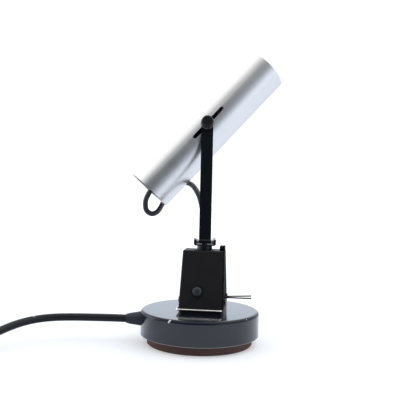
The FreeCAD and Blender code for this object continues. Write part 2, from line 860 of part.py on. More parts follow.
def hood_screw_holes(name, frames, radius, depth):
    return [on_frame(cylinder(f"{name}_{number}", radius, depth + MARGIN), frame, -float(depth))
            for number, frame in enumerate(frames, start=1)]


def make_foot():
    """Cast tray on the base, with a block at each corner for a screw of the housing."""
    blank = block("foot_block", size("hood_width"), size("hood_depth"), foot_height)
    rounded_blank = rounded(
        "foot_blank", blank, size("foot_corner_radius"),
        lambda edge: abs(edge.tangentAt(edge.FirstParameter).z) > 0.99)
    pocket = block("foot_pocket", size("hood_width") - 2 * size("foot_wall"),
                   size("hood_depth") - 2 * size("foot_wall"), foot_height, (0, 0, foot_floor))
    tray = cut("foot_tray", rounded_blank, pocket)
    across = hood_half_width - hood_wall - size("foot_block_gap") - size("foot_block_width") / 2
    along = size("hood_screw_spacing") / 2
    blocks = [block(f"foot_block_{number}", size("foot_block_width"), size("foot_block_length"),
                    size("foot_block_height"), (across * x, along * y, foot_floor))
              for number, (x, y) in enumerate(((-1, 1), (-1, -1), (1, 1), (1, -1)), start=1)]
    cuts = [cylinder("foot_well", wire_hole_radius, foot_height, (-pedestal_shift, 0, -MARGIN))]
    for number, (_, y) in enumerate(tie_places, start=1):
        cuts.append(cylinder(f"foot_tie_hole_{number}", tie_hole_radius, foot_height,
                             (0, y, -MARGIN)))
    hole = size("bail_wire_diameter") / 2 + size("running_play")
    for number, side in enumerate((1, -1), start=1):
        cuts.append(cylinder(f"foot_bail_hole_{number}", hole, size("foot_wall"),
                             (size("bail_pivot_x"),
                              (size("hood_depth") / 2 - size("bail_hole_depth")) * side,
                              size("bail_height")), ALONG_Y * side))
    cuts += hood_screw_holes("foot_screw_hole", HOOD_SCREW_FRAMES,
                             size("hood_screw_diameter") / 2, size("hood_screw_length"))
    node(cut("pedestal_foot", join("foot_cast", tray, *blocks), *cuts), "pedestal_foot", PEDESTAL)


def hood_wedge(name, inset, left_inset, right_inset):
    """The housing's tapered shape, each side moved inwards by its inset."""
    return wedge(name,
                 (left_inset - hood_half_width, hood_half_width - right_inset,
                  size("hood_depth") - 2 * inset),
                 (left_inset - hood_half_top, hood_half_top - right_inset,
                  size("hood_top_depth") - 2 * inset),
                 hood_height, (0, 0, foot_height))


def make_hood():
    """Folded sheet housing, and the plate that closes its right side."""
    outside = rounded(
        "hood_outside", hood_wedge("hood_blank", 0.0, 0.0, 0.0), size("hood_edge_radius"),
        lambda edge: max(vertex.Z for vertex in edge.Vertexes) > float(foot_height) + MARGIN)
    room = common("hood_room",
                  hood_wedge("hood_inside", hood_wall * 1.03, hood_wall, -MARGIN),
                  block("hood_room_limit", 2 * size("hood_width"), 2 * size("hood_depth"),
                        hood_height - hood_wall, (0, 0, foot_height)))
    side_room = hood_wedge("hood_side_room", -MARGIN,
                           2 * hood_half_width - hood_wall - size("seam_gap"), -MARGIN)
    side_blank = hood_wedge("hood_side_blank", -MARGIN, 2 * hood_half_width - hood_wall, -MARGIN)
    for item, inset in ((side_room, hood_wall + size("seam_gap")), (side_blank, hood_wall)):
        bind(item, X2min=hood_half_top - inset, Xmin=hood_half_width - inset)
    switch_hole = on_frame(cylinder("hood_switch_hole",
                                    size("switch_neck_diameter") / 2 + size("hole_play"),
                                    hood_wall + 4 * MARGIN),
                           PEDESTAL.inverse() * SWITCH, -float(hood_wall) - 2 * MARGIN)
    swivel_hole = cylinder("hood_swivel_hole", size("bush_barrel_diameter") / 2,
                           hood_wall + 2 * MARGIN, (0, 0, hood_top - hood_wall - MARGIN))
    screw_hole = size("hood_screw_diameter") / 2 + size("hole_play")
    left_holes = hood_screw_holes("hood_screw_hole", HOOD_SCREW_FRAMES[:2], screw_hole,
                                  hood_wall + MARGIN)
    right_holes = hood_screw_holes("plate_screw_hole", HOOD_SCREW_FRAMES[2:], screw_hole,
                                   hood_wall + MARGIN)
    node(cut("hood", outside, room, side_room, switch_hole, swivel_hole, *left_holes),
         "hood", PEDESTAL)

    lip_thickness = hood_wall - size("seam_gap")
    lip = block("plate_lip", size("lip_length"), size("lip_width"), size("lip_height"),
                (hood_half_top - size("lip_length") / 2, 0, hood_top))
    web = block("plate_web", lip_thickness, size("lip_width"), 2 * size("lip_height"),
                (hood_half_top - lip_thickness / 2, 0, hood_top - size("lip_height")))
    closed = join("plate_blank", common("plate_sheet", outside, side_blank), lip, web)
    slot = block("plate_slot", 6 * MARGIN, size("lever_slot_length"), size("lever_slot_height"),
                 (hood_half_width, 0, size("lever_height") - size("lever_slot_height") / 2))
    node(cut("hood_side_plate", closed, slot, *right_holes), "hood_side_plate", PEDESTAL)


def make_hood_screws():
    pieces = []
    for number, frame in enumerate(HOOD_SCREW_FRAMES, start=1):
        head = on_frame(cylinder(f"hood_screw_head_{number}", size("hood_screw_head_diameter") / 2,
                                 size("hood_screw_head_height")), frame)
        shank = on_frame(cylinder(f"hood_screw_shank_{number}", size("hood_screw_diameter") / 2,
                                  size("hood_screw_length")),
                         frame, -float(size("hood_screw_length")))
        pieces.append(join(f"hood_screw_{number}", head, shank))
    node(join("hood_screws", *pieces), "hood_screws", PEDESTAL)


def hexagon(name, width, height, foot, bore):
    """A hexagonal nut with a plain bore."""
    prism = bind(doc.addObject("Part::Prism", f"{name}_prism"), Polygon=6,
                 Circumradius=width / math.sqrt(3), Height=height)
    x, y, z = foot
    hole = cylinder(f"{name}_bore", bore, height + 2 * MARGIN, (x, y, z - MARGIN))
    return cut(name, place(prism, foot), hole)


def make_tie_nuts():
    """The chassis foot lies under the rear nut."""
    bore = size("tie_shank_diameter") / 2
    front_y, rear_y = (tie_places[1][1], tie_places[0][1])
    front = hexagon("tie_nut_front", size("tie_nut_width"), size("tie_nut_height"),
                    (0, front_y, foot_floor), bore)
    rear = hexagon("tie_nut_rear", size("tie_nut_width"), size("tie_nut_height"),
                   (0, rear_y, foot_floor + size("chassis_thickness")), bore)
    node(join("tie_nuts", front, rear), "tie_nuts", PEDESTAL)


def make_chassis():
    """Folded strip bolted to the foot, which carries the terminal block."""
    back = size("terminal_shift") + size("terminal_width") / 2
    thickness = size("chassis_thickness")
    height = size("terminal_base") + size("terminal_height") - foot_floor
    wall = block("chassis_wall", size("terminal_length"), thickness, height,
                 (0, back + thickness / 2, foot_floor))
    tread = block("chassis_tread", size("terminal_length"), size("chassis_tread"), thickness,
                  (0, back + size("chassis_tread") / 2, foot_floor))
    hole = cylinder("chassis_hole", tie_hole_radius, thickness + 2 * MARGIN,
                    (0, tie_places[0][1], foot_floor - MARGIN))
    node(cut("chassis", join("chassis_strip", wall, tread), hole), "chassis", PEDESTAL)


def make_terminal_block():
    insulator = block("terminal_insulator", size("terminal_length"), size("terminal_width"),
                      size("terminal_height"), (0, size("terminal_shift"), size("terminal_base")))
    front = size("terminal_shift") - size("terminal_width") / 2
    middle = size("terminal_base") + size("terminal_height") / 2
    radius = size("terminal_screw_diameter") / 2
    length = size("terminal_screw_length")
    places = [-6.0, -2.0, 2.0, 6.0]
    wells = [cylinder(f"terminal_well_{number}", radius, length, (x, front, middle), ALONG_Y)
             for number, x in enumerate(places, start=1)]
    screws = [cylinder(f"terminal_screw_{number}", radius, length, (x, front, middle), ALONG_Y)
              for number, x in enumerate(places, start=1)]
    node(cut("terminal_block", insulator, *wells), "terminal_block", PEDESTAL)
    node(join("terminal_screws", *screws), "terminal_screws", PEDESTAL)
    lead = cylinder("hood_lead", size("head_cord_diameter") / 2,
                    hood_top - size("terminal_base") - size("terminal_height")
                    - size("stem_depth") - size("swivel_gap"),
                    (0, 0, size("terminal_base") + size("terminal_height")))
    node(lead, "hood_lead", PEDESTAL)


def make_switch():
    """Round push switch held behind the sloping front, and its bezel and button."""
    neck = size("switch_neck_diameter") / 2
    bore = size("button_diameter") / 2 + size("button_play")
    end = -hood_wall - size("switch_body_length")
    depth = -size("button_depth") - size("button_travel") - size("button_play")
    body = turned("switch_solid", [
        (0.0, end), (size("switch_body_diameter") / 2, end),
        (size("switch_body_diameter") / 2, -hood_wall - size("switch_recess")),
        (neck, -hood_wall - size("switch_recess")),
        (neck, 0.0), (bore, 0.0), (bore, depth), (0.0, depth)], "V_Axis")
    node(body, "switch_body", SWITCH)
    node(ring("switch_bezel", size("bezel_diameter") / 2, bore, size("bezel_height")),
         "switch_bezel", SWITCH)
    button = size("button_diameter") / 2
    shoulder = size("button_rise")
    crown = shoulder + size("button_dome")
    node(turned("button_solid", [
        (0.0, -size("button_depth")), (button, -size("button_depth")), (button, shoulder),
        (button * 0.9, shoulder + size("button_dome") * 0.45),
        (button * 0.66, shoulder + size("button_dome") * 0.8), (button * 0.34, crown * 1.0),
        (0.0, crown)], "V_Axis"), "switch_button", SWITCH)


def make_bail():
    """Bent wire round the left of the housing, hinged in the foot at the right."""
    x = float(size("bail_pivot_x"))
    radius = float(size("bail_wire_diameter")) / 2
    out = float(size("hood_depth")) / 2 + radius + float(size("bail_gap"))
    left = -float(hood_half_width) - radius - float(size("bail_gap")) - 0.2
    end = float(size("hood_depth")) / 2 - float(size("bail_hole_depth")) + 0.4
    z = float(size("bail_height"))
    corners = [(x, -end), (x, -out), (left, -out), (left, out), (x, out), (x, end)]
    end_bend = float(size("bail_end_bend_radius"))
    wide_bend = float(size("bail_bend_radius"))
    path = route_wire([Vector(a, b, z) for a, b in corners], "wire_bail",
                      [end_bend, wide_bend, wide_bend, end_bend])
    shape_node("wire_bail", swept(path, size("bail_wire_diameter"), "wire_bail"), PEDESTAL)


def rod_start(rise, height, side):
    """Frame at the inner end of a lever rod, X along the rod."""
    return Placement(Vector(float(size("lever_pivot_x")), side * LEVER_ROD_SPREAD,
                            float(size("lever_height")) + height),
                     Rotation(ALONG_Y, -rise)) * Placement(
        Vector(float(size("lever_rod_inset")), 0, 0), Rotation(UP, ALONG_X))


def make_lever():
    """Rocking hub on a pin in a bracket, with two thin rods out of the side plate."""
    x = size("lever_pivot_x")
    height = size("lever_height")
    wall = size("bracket_wall")
    pin = size("lever_pin_diameter") / 2
    gap = size("lever_hub_length") / 2 + size("lever_side_gap")
    tread = block("bracket_tread", size("bracket_length"), 2 * gap + 2 * wall, wall,
                  (x, 0, foot_floor))
    ears = [block(f"bracket_ear_{number}", size("bracket_length"), wall,
                  height - foot_floor + 2.4 * pin, (x, (gap + wall / 2) * side, foot_floor))
            for number, side in enumerate((1, -1), start=1)]
    hole = cylinder("bracket_hole", pin, 2 * gap + 4 * wall, (x, -gap - 2 * wall, height), ALONG_Y)
    node(cut("lever_bracket", join("bracket_strip", tread, *ears), hole),
         "lever_bracket", PEDESTAL)
    node(cylinder("lever_pin", pin, 2 * gap + 2 * wall, (x, -gap - wall, height), ALONG_Y),
         "lever_pin", PEDESTAL)

    reach = size("lever_reach") - size("lever_rod_inset")
    hub = cylinder("lever_hub_blank", size("lever_hub_diameter") / 2, size("lever_hub_length"),
                   (x, size("lever_hub_length") / -2, height), ALONG_Y)
    bore = cylinder("lever_hub_bore", pin + size("running_play"), 2 * size("lever_hub_length"),
                    (x, -size("lever_hub_length"), height), ALONG_Y)
    cuts = [bore]
    rods = (("lever_rod_upper", LEVER_UPPER_RISE, LEVER_UPPER_START, -1),
            ("lever_rod_lower", LEVER_LOWER_RISE, LEVER_LOWER_START, 1))
    for label, rise, start, side in rods:
        frame = rod_start(rise, start, side)
        rod = cylinder(label, size("lever_rod_diameter") / 2, reach)
        node(rod, label, PEDESTAL * frame)
        cuts.append(on_frame(cylinder(f"{label}_hole", size("lever_rod_diameter") / 2, reach),
                             frame))
    node(cut("lever_hub", hub, *cuts), "lever_hub", PEDESTAL)


# Swivel and clevis, in the swivel frame and the clevis frame

def make_swivel():
    barrel = size("bush_barrel_diameter") / 2
    bush = join("bush_blank",
                cylinder("bush_flange", size("swivel_flange_diameter") / 2,
                         size("swivel_flange_height")),
                cylinder("bush_barrel", barrel, size("bush_depth"),
                         (0, 0, -size("bush_depth"))))
    bore = cylinder("bush_bore", bush_bore_radius, 3 * size("bush_depth"),
                    (0, 0, -2 * size("bush_depth")))
    node(cut("swivel_bush", bush, bore), "swivel_bush", SWIVEL)

    stem = ring("swivel_stem", stem_radius, size("swivel_bore_diameter") / 2,
                clevis_floor_top + size("stem_depth"), (0, 0, -size("stem_depth")))
    node(stem, "swivel_stem", CLEVIS)
    washer_top = -size("bush_depth") - size("swivel_gap")
    washer_bottom = washer_top - size("spring_washer_height")
    node(ring("spring_washer", size("spring_washer_diameter") / 2, stem_radius,
              size("spring_washer_height"), (0, 0, washer_bottom)), "spring_washer", CLEVIS)
    node(hexagon("swivel_nut", size("nut_width"), size("nut_height"),
                 (0, 0, washer_bottom - size("nut_height")), stem_radius), "swivel_nut", CLEVIS)


def make_clevis():
    """Folded strip: a floor riveted to the stem and an ear at each side of the arm."""
    middle = size("clevis_depth") / 2 - size("clevis_overhang")
    blank = block("clevis_block", size("clevis_width"), size("clevis_depth"),
                  size("clevis_height"), (0, middle, clevis_base))
    bottom = float(clevis_base)
    outside = rounded("clevis_outside", blank, size("clevis_edge_radius"), lambda edge: (
        abs(edge.tangentAt(edge.FirstParameter).y) > 0.99
        and edge.BoundBox.ZMax < bottom + 0.01))
    room = block("clevis_room", size("clevis_width") - 2 * size("clevis_ear"),
                 2 * size("clevis_depth"), size("clevis_height"), (0, middle, clevis_floor_top))
    stem_hole = cylinder("clevis_stem_hole", stem_radius, 4 * MARGIN, (0, 0, clevis_base - MARGIN))
    pin_hole = cylinder("clevis_pin_hole", pin_radius, 2 * size("clevis_width"),
                        (-size("clevis_width"), -size("hinge_setback"), size("hinge_height")),
                        ALONG_X)
    node(cut("clevis", outside, room, stem_hole, pin_hole), "clevis", CLEVIS)
    node(cylinder("hinge_pin", pin_radius, size("clevis_width"),
                  (size("clevis_width") / -2, -size("hinge_setback"), size("hinge_height")),
                  ALONG_X), "hinge_pin", CLEVIS)
    inner = size("clevis_width") / 2 - size("clevis_ear")
    length = inner - size("arm_width") / 2 - size("swivel_gap")
    spacers = []
    for number, start in enumerate((-inner, inner - length), start=1):
        spacers.append(ring(f"hinge_spacer_{number}", size("spacer_diameter") / 2, pin_radius,
                            length, (start, -size("hinge_setback"), size("hinge_height")),
                            ALONG_X))
    node(join("hinge_spacers", *spacers), "hinge_spacers", CLEVIS)


# Arm, in the arm frame: Z runs up the arm from the hinge pin

def make_arm():
    """Flat strip curled round the pin at its foot and rounded at its top."""
    width = size("arm_width")
    length = size("arm_length")
    thickness = size("arm_thickness")
    strip = block("arm_strip", width, thickness, length)
    eye = cylinder("arm_eye", width / 2, thickness, (0, -arm_half, length), ALONG_Y)
    knuckle = cylinder("arm_knuckle", size("knuckle_diameter") / 2, width,
                       (width / -2, 0, 0), ALONG_X)
    pin_bore = cylinder("arm_pin_bore", pin_radius + size("running_play"), 2 * width,
                        (-width, 0, 0), ALONG_X)
    stud_bore = cylinder("arm_stud_bore", stud_radius + size("running_play"), 4 * thickness,
                         (0, -2 * thickness, length), ALONG_Y)
    node(cut("arm", join("arm_blank", strip, eye, knuckle), pin_bore, stud_bore), "arm", ARM)
    bore = stud_radius + size("running_play")
    node(ring("knob_washer", size("washer_diameter") / 2, bore, size("washer_thickness"),
              (0, -arm_half, length), -ALONG_Y), "knob_washer", ARM)
    node(ring("fibre_washer", size("arm_width") / 2 - 0.5, bore, size("spacer_thickness"),
              (0, arm_half, length), ALONG_Y), "fibre_washer", ARM)


# Clamp and knob, in the tilt frame: Y runs from the knob into the tube

def make_clamp():
    """Curved plate inside the tube, keyed to its slot and drawn outwards by the stud."""
    outer = tube_inside - size("clamp_play")
    inner = outer - size("clamp_thickness")
    length = size("clamp_length")
    sector = ring("clamp_sector", outer, inner, length, (length / -2, tube_offset, 0), ALONG_X)
    window = block("clamp_window", length, size("clamp_thickness") * 3, size("clamp_width"),
                   (0, tube_offset - tube_radius + size("clamp_thickness") / 2,
                    size("clamp_width") / -2))
    key_top = tube_offset - tube_radius + 0.3
    key_root = tube_offset - outer + size("clamp_thickness") / 2
    key = block("clamp_key", size("key_length"), key_root - key_top,
                size("slot_width") - 2 * size("key_play"),
                (0, (key_top + key_root) / 2, size("key_play") - size("slot_width") / 2))
    head = size("stud_head_diameter") / 2
    head_place = tube_offset - inner - size("stud_head_height") - size("stud_head_recess")
    head_room = cylinder("clamp_head_room", head, 4 * size("stud_head_height"),
                         (0, head_place, 0), ALONG_Y)
    bore = cylinder("clamp_bore", stud_radius, 2 * tube_radius, (0, -tube_radius, 0), ALONG_Y)
    plate = join("clamp_blank", common("clamp_curve", sector, window), key)
    node(cut("clamp_plate", plate, head_room, bore), "clamp_plate", TILT)

    tip = arm_half + size("washer_thickness") + size("stud_thread")
    stud = join("clamp_stud_solid",
                cylinder("stud_shank", stud_radius, head_place + tip, (0, -tip, 0), ALONG_Y),
                cylinder("stud_head", head, size("stud_head_height"), (0, head_place, 0),
                         ALONG_Y))
    node(stud, "clamp_stud", TILT)


def make_knob():
    """Milled knob on the stud; its Z runs outwards from the arm."""
    radius = size("knob_diameter") / 2
    start = arm_half + size("washer_thickness") + size("knob_gap")
    end = start + size("knob_length")
    bore = stud_radius + size("running_play")
    depth = arm_half + size("washer_thickness") + size("stud_thread") + size("knob_gap")
    solid = turned("knob_solid", [
        (bore, start), (radius - 0.5, start), (radius, start + 0.5), (radius, end - 0.7),
        (radius - 0.9, end), (0.0, end), (0.0, depth), (bore, depth)], "V_Axis")
    count = int(SIZES["knob_grips"])
    grips = []
    for number in range(count):
        angle = 2 * math.pi * number / count
        grips.append(cylinder(f"knob_grip_{number + 1}", size("knob_grip_diameter") / 2,
                              end - start + 2 * MARGIN,
                              (radius * round(math.cos(angle), 6),
                               radius * round(math.sin(angle), 6), start - MARGIN)))
    node(cut("knob", solid, *grips), "knob",
         TILT * Placement(Vector(), Rotation(ALONG_X, 90)))


# Lamp tube and what it holds, in the tube frame: X runs along the tube to its mouth

def make_tube():
    front = size("tube_front")
    rear = size("tube_rear")
    wall = ring("tube_wall_blank", tube_radius, tube_inside, front + rear, (-rear, 0, 0), ALONG_X)
    half = size("slot_width") / 2
    straight = size("slot_front") + size("slot_rear") - size("slot_width")
    slot = block("tube_slot_middle", straight, 4 * MARGIN, size("slot_width"),
                 ((size("slot_front") - size("slot_rear")) / 2, -tube_radius, -half))
    ends = [cylinder(f"tube_slot_end_{number}", half, 4 * MARGIN,
                     (x, -tube_radius - 2 * MARGIN, 0), ALONG_Y)
            for number, x in enumerate((size("slot_front") - half, half - size("slot_rear")),
                                       start=1)]
    screw = size("carrier_screw_diameter") / 2 + size("hole_play")
    holes = carrier_pegs("tube_screw_hole", screw, tube_inside - MARGIN, 4 * MARGIN)
    node(cut("head_tube", wall, slot, *ends, *holes), "head_tube", TUBE)


def carrier_pegs(name, radius, start, length):
    """Cylinders that run outwards at the three screws of the lampholder's carrier."""
    pegs = []
    for number, angle in enumerate((30.0, 90.0, 150.0), start=1):
        outward = Vector(0, math.sin(math.radians(angle)), math.cos(math.radians(angle)))
        x = float(carrier_place + size("carrier_flange") / 2 + size("carrier_thickness") / 2)
        peg = cylinder(f"{name}_{number}", radius, length)
        peg.Placement = Placement(Vector(x, 0, 0) + outward * float(start), Rotation(UP, outward))
        pegs.append(peg)
    return pegs


def make_lampholder():
    outer = tube_inside - size("carrier_play")
    thickness = size("carrier_thickness")
    nipple = size("nipple_diameter") / 2
    cup = turned("carrier_cup", [
        (carrier_place, nipple), (carrier_place, outer),
        (carrier_place + size("carrier_flange"), outer),
        (carrier_place + size("carrier_flange"), outer - thickness),
        (carrier_place + thickness, outer - thickness), (carrier_place + thickness, nipple)],
        "H_Axis")
    screw = size("carrier_screw_diameter") / 2
    node(cut("lamp_carrier", cup, *carrier_pegs("carrier_hole", screw, outer - 2 * thickness,
                                                4 * thickness)), "lamp_carrier", TUBE)
    head_seat = tube_radius + size("running_play")
    heads = carrier_pegs("carrier_head", size("carrier_head_diameter") / 2,
                         head_seat, size("carrier_head_height"))
    shanks = carrier_pegs("carrier_shank", screw, outer - thickness,
                          head_seat - outer + thickness)
    screws = [join(f"carrier_screw_{number}", head, shank)
              for number, (head, shank) in enumerate(zip(heads, shanks), start=1)]
    node(join("carrier_screws", *screws), "carrier_screws", TUBE)

    back = carrier_place + thickness
    mouth = back + size("holder_length")
    holder = size("holder_diameter") / 2
    socket = size("socket_diameter") / 2
    cord_bore = size("head_cord_diameter") / 2 + size("cord_play")
    floor = mouth - size("socket_depth")
    nipple_end = carrier_place - size("nipple_length")
    cord_end = back + 3.0
    node(turned("holder_solid", [
        (nipple_end, cord_bore), (nipple_end, nipple), (back, nipple), (back, holder - 1.5),
        (back + 1.5, holder), (mouth, holder), (mouth, socket), (floor, socket), (floor, 0.0),
        (cord_end, 0.0), (cord_end, cord_bore)], "H_Axis"), "lampholder", TUBE)
    nut = hexagon("holder_nut_prism", size("holder_nut_width"), size("holder_nut_height"),
                  (0, 0, 0), nipple)
    node(nut, "holder_nut", TUBE * Placement(
        Vector(float(carrier_place - size("holder_nut_height")), 0, 0), Rotation(UP, ALONG_X)))

    cap = size("bulb_cap_diameter") / 2
    cap_end = floor + size("bulb_cap_length")
    contact = size("contact_diameter") / 2
    node(cylinder("bulb_contact", contact, size("contact_height"), (floor, 0, 0), ALONG_X),
         "bulb_contact", TUBE)
    cap_start = floor + size("contact_height")
    node(cylinder("bulb_cap", cap, cap_end - cap_start, (cap_start, 0, 0), ALONG_X),
         "bulb_cap", TUBE)
    bulb = size("bulb_diameter") / 2
    length = size("bulb_length")
    glass = size("bulb_wall")
    node(turned("bulb_solid", [
        (cap_end, cap - glass), (cap_end, cap), (cap_end + length * 0.12, cap + 0.6),
        (cap_end + length * 0.46, bulb * 0.78), (cap_end + length * 0.66, bulb),
        (cap_end + length * 0.78, bulb), (cap_end + length * 0.94, bulb * 0.72),
        (cap_end + length, bulb * 0.3), (cap_end + length, 0.0),
        (cap_end + length - glass, 0.0), (cap_end + length - glass, bulb * 0.28),
        (cap_end + length * 0.92, bulb * 0.66), (cap_end + length * 0.77, bulb - glass),
        (cap_end + length * 0.67, bulb - glass), (cap_end + length * 0.47, bulb * 0.78 - glass),
        (cap_end + length * 0.13, cap + 0.6 - glass)], "H_Axis"), "bulb_glass", TUBE)


# Points of the cord round its loops and down behind the arm: how far each has come from the
# lamp tube's mouth towards the swivel, as a share, then what is added in X, Y and Z
HEAD_CORD_POINTS = [
    (0, -13.3, 3.1, -17.8),
    (0, -13.4, 3.3, -29.1),
    (0, -10.5, 4.0, -33.7),
    (0, -5.5, 5.9, -35.5),
    (0, -0.7, 11.3, -32.3),
    (0, 2.1, 18.7, -24.5),
    (0, 6.1, 25.7, -14.1),
    (0.1, 10.3, 31.8, 3.7),
    (0.25, 18.1, 26.2, 15.4),
    (0.5, 16.9, 11.1, 19.1),
    (0.8, 7.1, 5.4, 19.9),
    (1, -2.0, 4.4, 13.8),
]


def make_head_cord():
    """Limp flex from the lampholder, out of the tube's rear and down into the swivel."""
    start = float(carrier_place + size("carrier_thickness")) + 3.0
    last_straight = float(size("head_cord_inset") - size("tube_rear"))
    inside = [TUBE.multVec(Vector(x, 0, 0)) for x in (start, last_straight)]
    mouth = inside[-1]
    bottom = SWIVEL.multVec(Vector(0, 0, -float(size("stem_depth"))))
    top = SWIVEL.multVec(Vector(0, 0, float(clevis_floor_top) + 3.0))
    loops = [mouth + (top - mouth) * share + Vector(*added)
             for share, *added in HEAD_CORD_POINTS]
    path = route_wire([*inside, *loops, top, bottom], "head_cord")
    shape_node("head_cord", swept(path, size("head_cord_diameter"), "head_cord"))


make_base_shell()
make_ballast()
make_bottom_plate()
make_sole()
make_base_screws()
make_tie_bolts()
make_gland()
make_inner_lead()
make_foot()
make_hood()
make_hood_screws()
make_tie_nuts()
make_chassis()
make_terminal_block()
make_switch()
make_bail()
make_lever()
make_swivel()
make_clevis()
make_arm()
make_clamp()
make_knob()
make_tube()
make_lampholder()
make_head_cord()
make_mains()
doc.recompute()

problems = [f"{item.Name}: {item.State}" for item in doc.Objects
            if "Invalid" in item.State or "Error" in item.State]
problems += [f"{item.Name}: shape is null or invalid" for item in NODES
             if item.Shape.isNull() or not item.Shape.isValid()]
if problems:
    raise RuntimeError("; ".join(problems))

os.makedirs("parts", exist_ok=True)
for item in NODES:
    item.Shape.exportStep(f"parts/{item.Label}.step")
    box = item.Shape.BoundBox
    print(f"{item.Label}: {len(item.Shape.Solids)} solid(s), {item.Shape.Volume / 1000:.2f} cm3,"
          f" x {box.XMin:.1f}..{box.XMax:.1f} y {box.YMin:.1f}..{box.YMax:.1f}"
          f" z {box.ZMin:.1f}..{box.ZMax:.1f}")
print(f"{len(NODES)} nodes")
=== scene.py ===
"""Looks of the tabletop searchlight lamp: finishes, flexes, light and camera.

All places are in metres in the frame of the solids. Route points and marks are written in
millimetres and turned into metres once.
"""

import json
import logging
import math
from dataclasses import dataclass
from enum import Enum
from typing import Optional, Sequence, Union

import bpy
import numpy as np
from mathutils import Matrix, Vector


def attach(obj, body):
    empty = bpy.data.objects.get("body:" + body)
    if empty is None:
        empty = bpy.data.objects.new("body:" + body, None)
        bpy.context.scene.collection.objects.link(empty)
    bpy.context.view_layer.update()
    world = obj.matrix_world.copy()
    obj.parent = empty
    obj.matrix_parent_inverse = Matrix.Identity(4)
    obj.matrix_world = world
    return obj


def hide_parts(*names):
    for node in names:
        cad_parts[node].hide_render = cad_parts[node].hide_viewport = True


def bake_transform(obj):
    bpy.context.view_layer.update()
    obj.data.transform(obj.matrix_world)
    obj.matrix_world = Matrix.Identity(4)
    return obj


LOG = logging.getLogger("searchlight_lamp")
MM = 0.001
Number = Union[float, "Value"]
Colour = tuple[float, float, float]
Place = tuple[float, float, float]
Span = tuple[float, float]
Mark = tuple[float, float, float, float]
Owner = Union[bpy.types.Material, bpy.types.World]
BLACK: Colour = (0.0, 0.0, 0.0)
WHITE: Colour = (1.0, 1.0, 1.0)

# How finely a flex is divided: along one run of its route, and round its section.
STEPS_PER_RUN = 12
STEPS_PER_QUARTER = 6
TUBE_SIDES = 20

# A path this close to upright takes X instead of Z to start its ring.
NEARLY_UPRIGHT = 0.1


class Value:
    """A number, colour or vector carried by a shader socket, with the usual arithmetic."""

    def __init__(self, graph: "Graph", socket: bpy.types.NodeSocket) -> None:
        """Keep the socket and the graph it belongs to."""
        self.graph = graph
        self.socket = socket

    def __add__(self, other: Number) -> "Value":
        """Sum."""
        return self.graph.math("ADD", self, other)

    def __sub__(self, other: Number) -> "Value":
        """Difference."""
        return self.graph.math("SUBTRACT", self, other)

    def __rsub__(self, other: Number) -> "Value":
        """Difference from a plain number."""
        return self.graph.math("SUBTRACT", other, self)

    def __mul__(self, other: Number) -> "Value":
        """Product."""
        return self.graph.math("MULTIPLY", self, other)

    __radd__ = __add__
    __rmul__ = __mul__

    def at_least(self, other: Number) -> "Value":
        """The larger of two numbers."""
        return self.graph.math("MAXIMUM", self, other)

    def ramp(self, start: float, end: float) -> "Value":
        """Go smoothly from 0 to 1.

        Args:
            start: the number where the ramp leaves 0.
            end: the number where it reaches 1; it may be below start.

        Returns:
            The ramp, 3 t t - 2 t t t for a share t of the way.
        """
        low, high = sorted((start, end))
        rising = self.graph.node(
            "ShaderNodeMapRange", {"interpolation_type": "SMOOTHSTEP"},
            {"Value": self, "From Min": low, "From Max": high})["Result"]
        return rising if start < end else 1.0 - rising


@dataclass(frozen=True)
class Noise:
    """A noise pattern.

    Attributes:
        size: how large its blotches are, in metres.
        detail: how many finer layers it has.
        pull: factors on X, Y and Z; a small one draws the blotches out along its axis.
        marks: the noise where a mark starts and where it is full, if it makes marks.
        roughness: how strong each finer layer is.
    """

    size: float
    detail: float
    pull: Optional[Place] = None
    marks: Optional[Span] = None
    roughness: float = 0.55


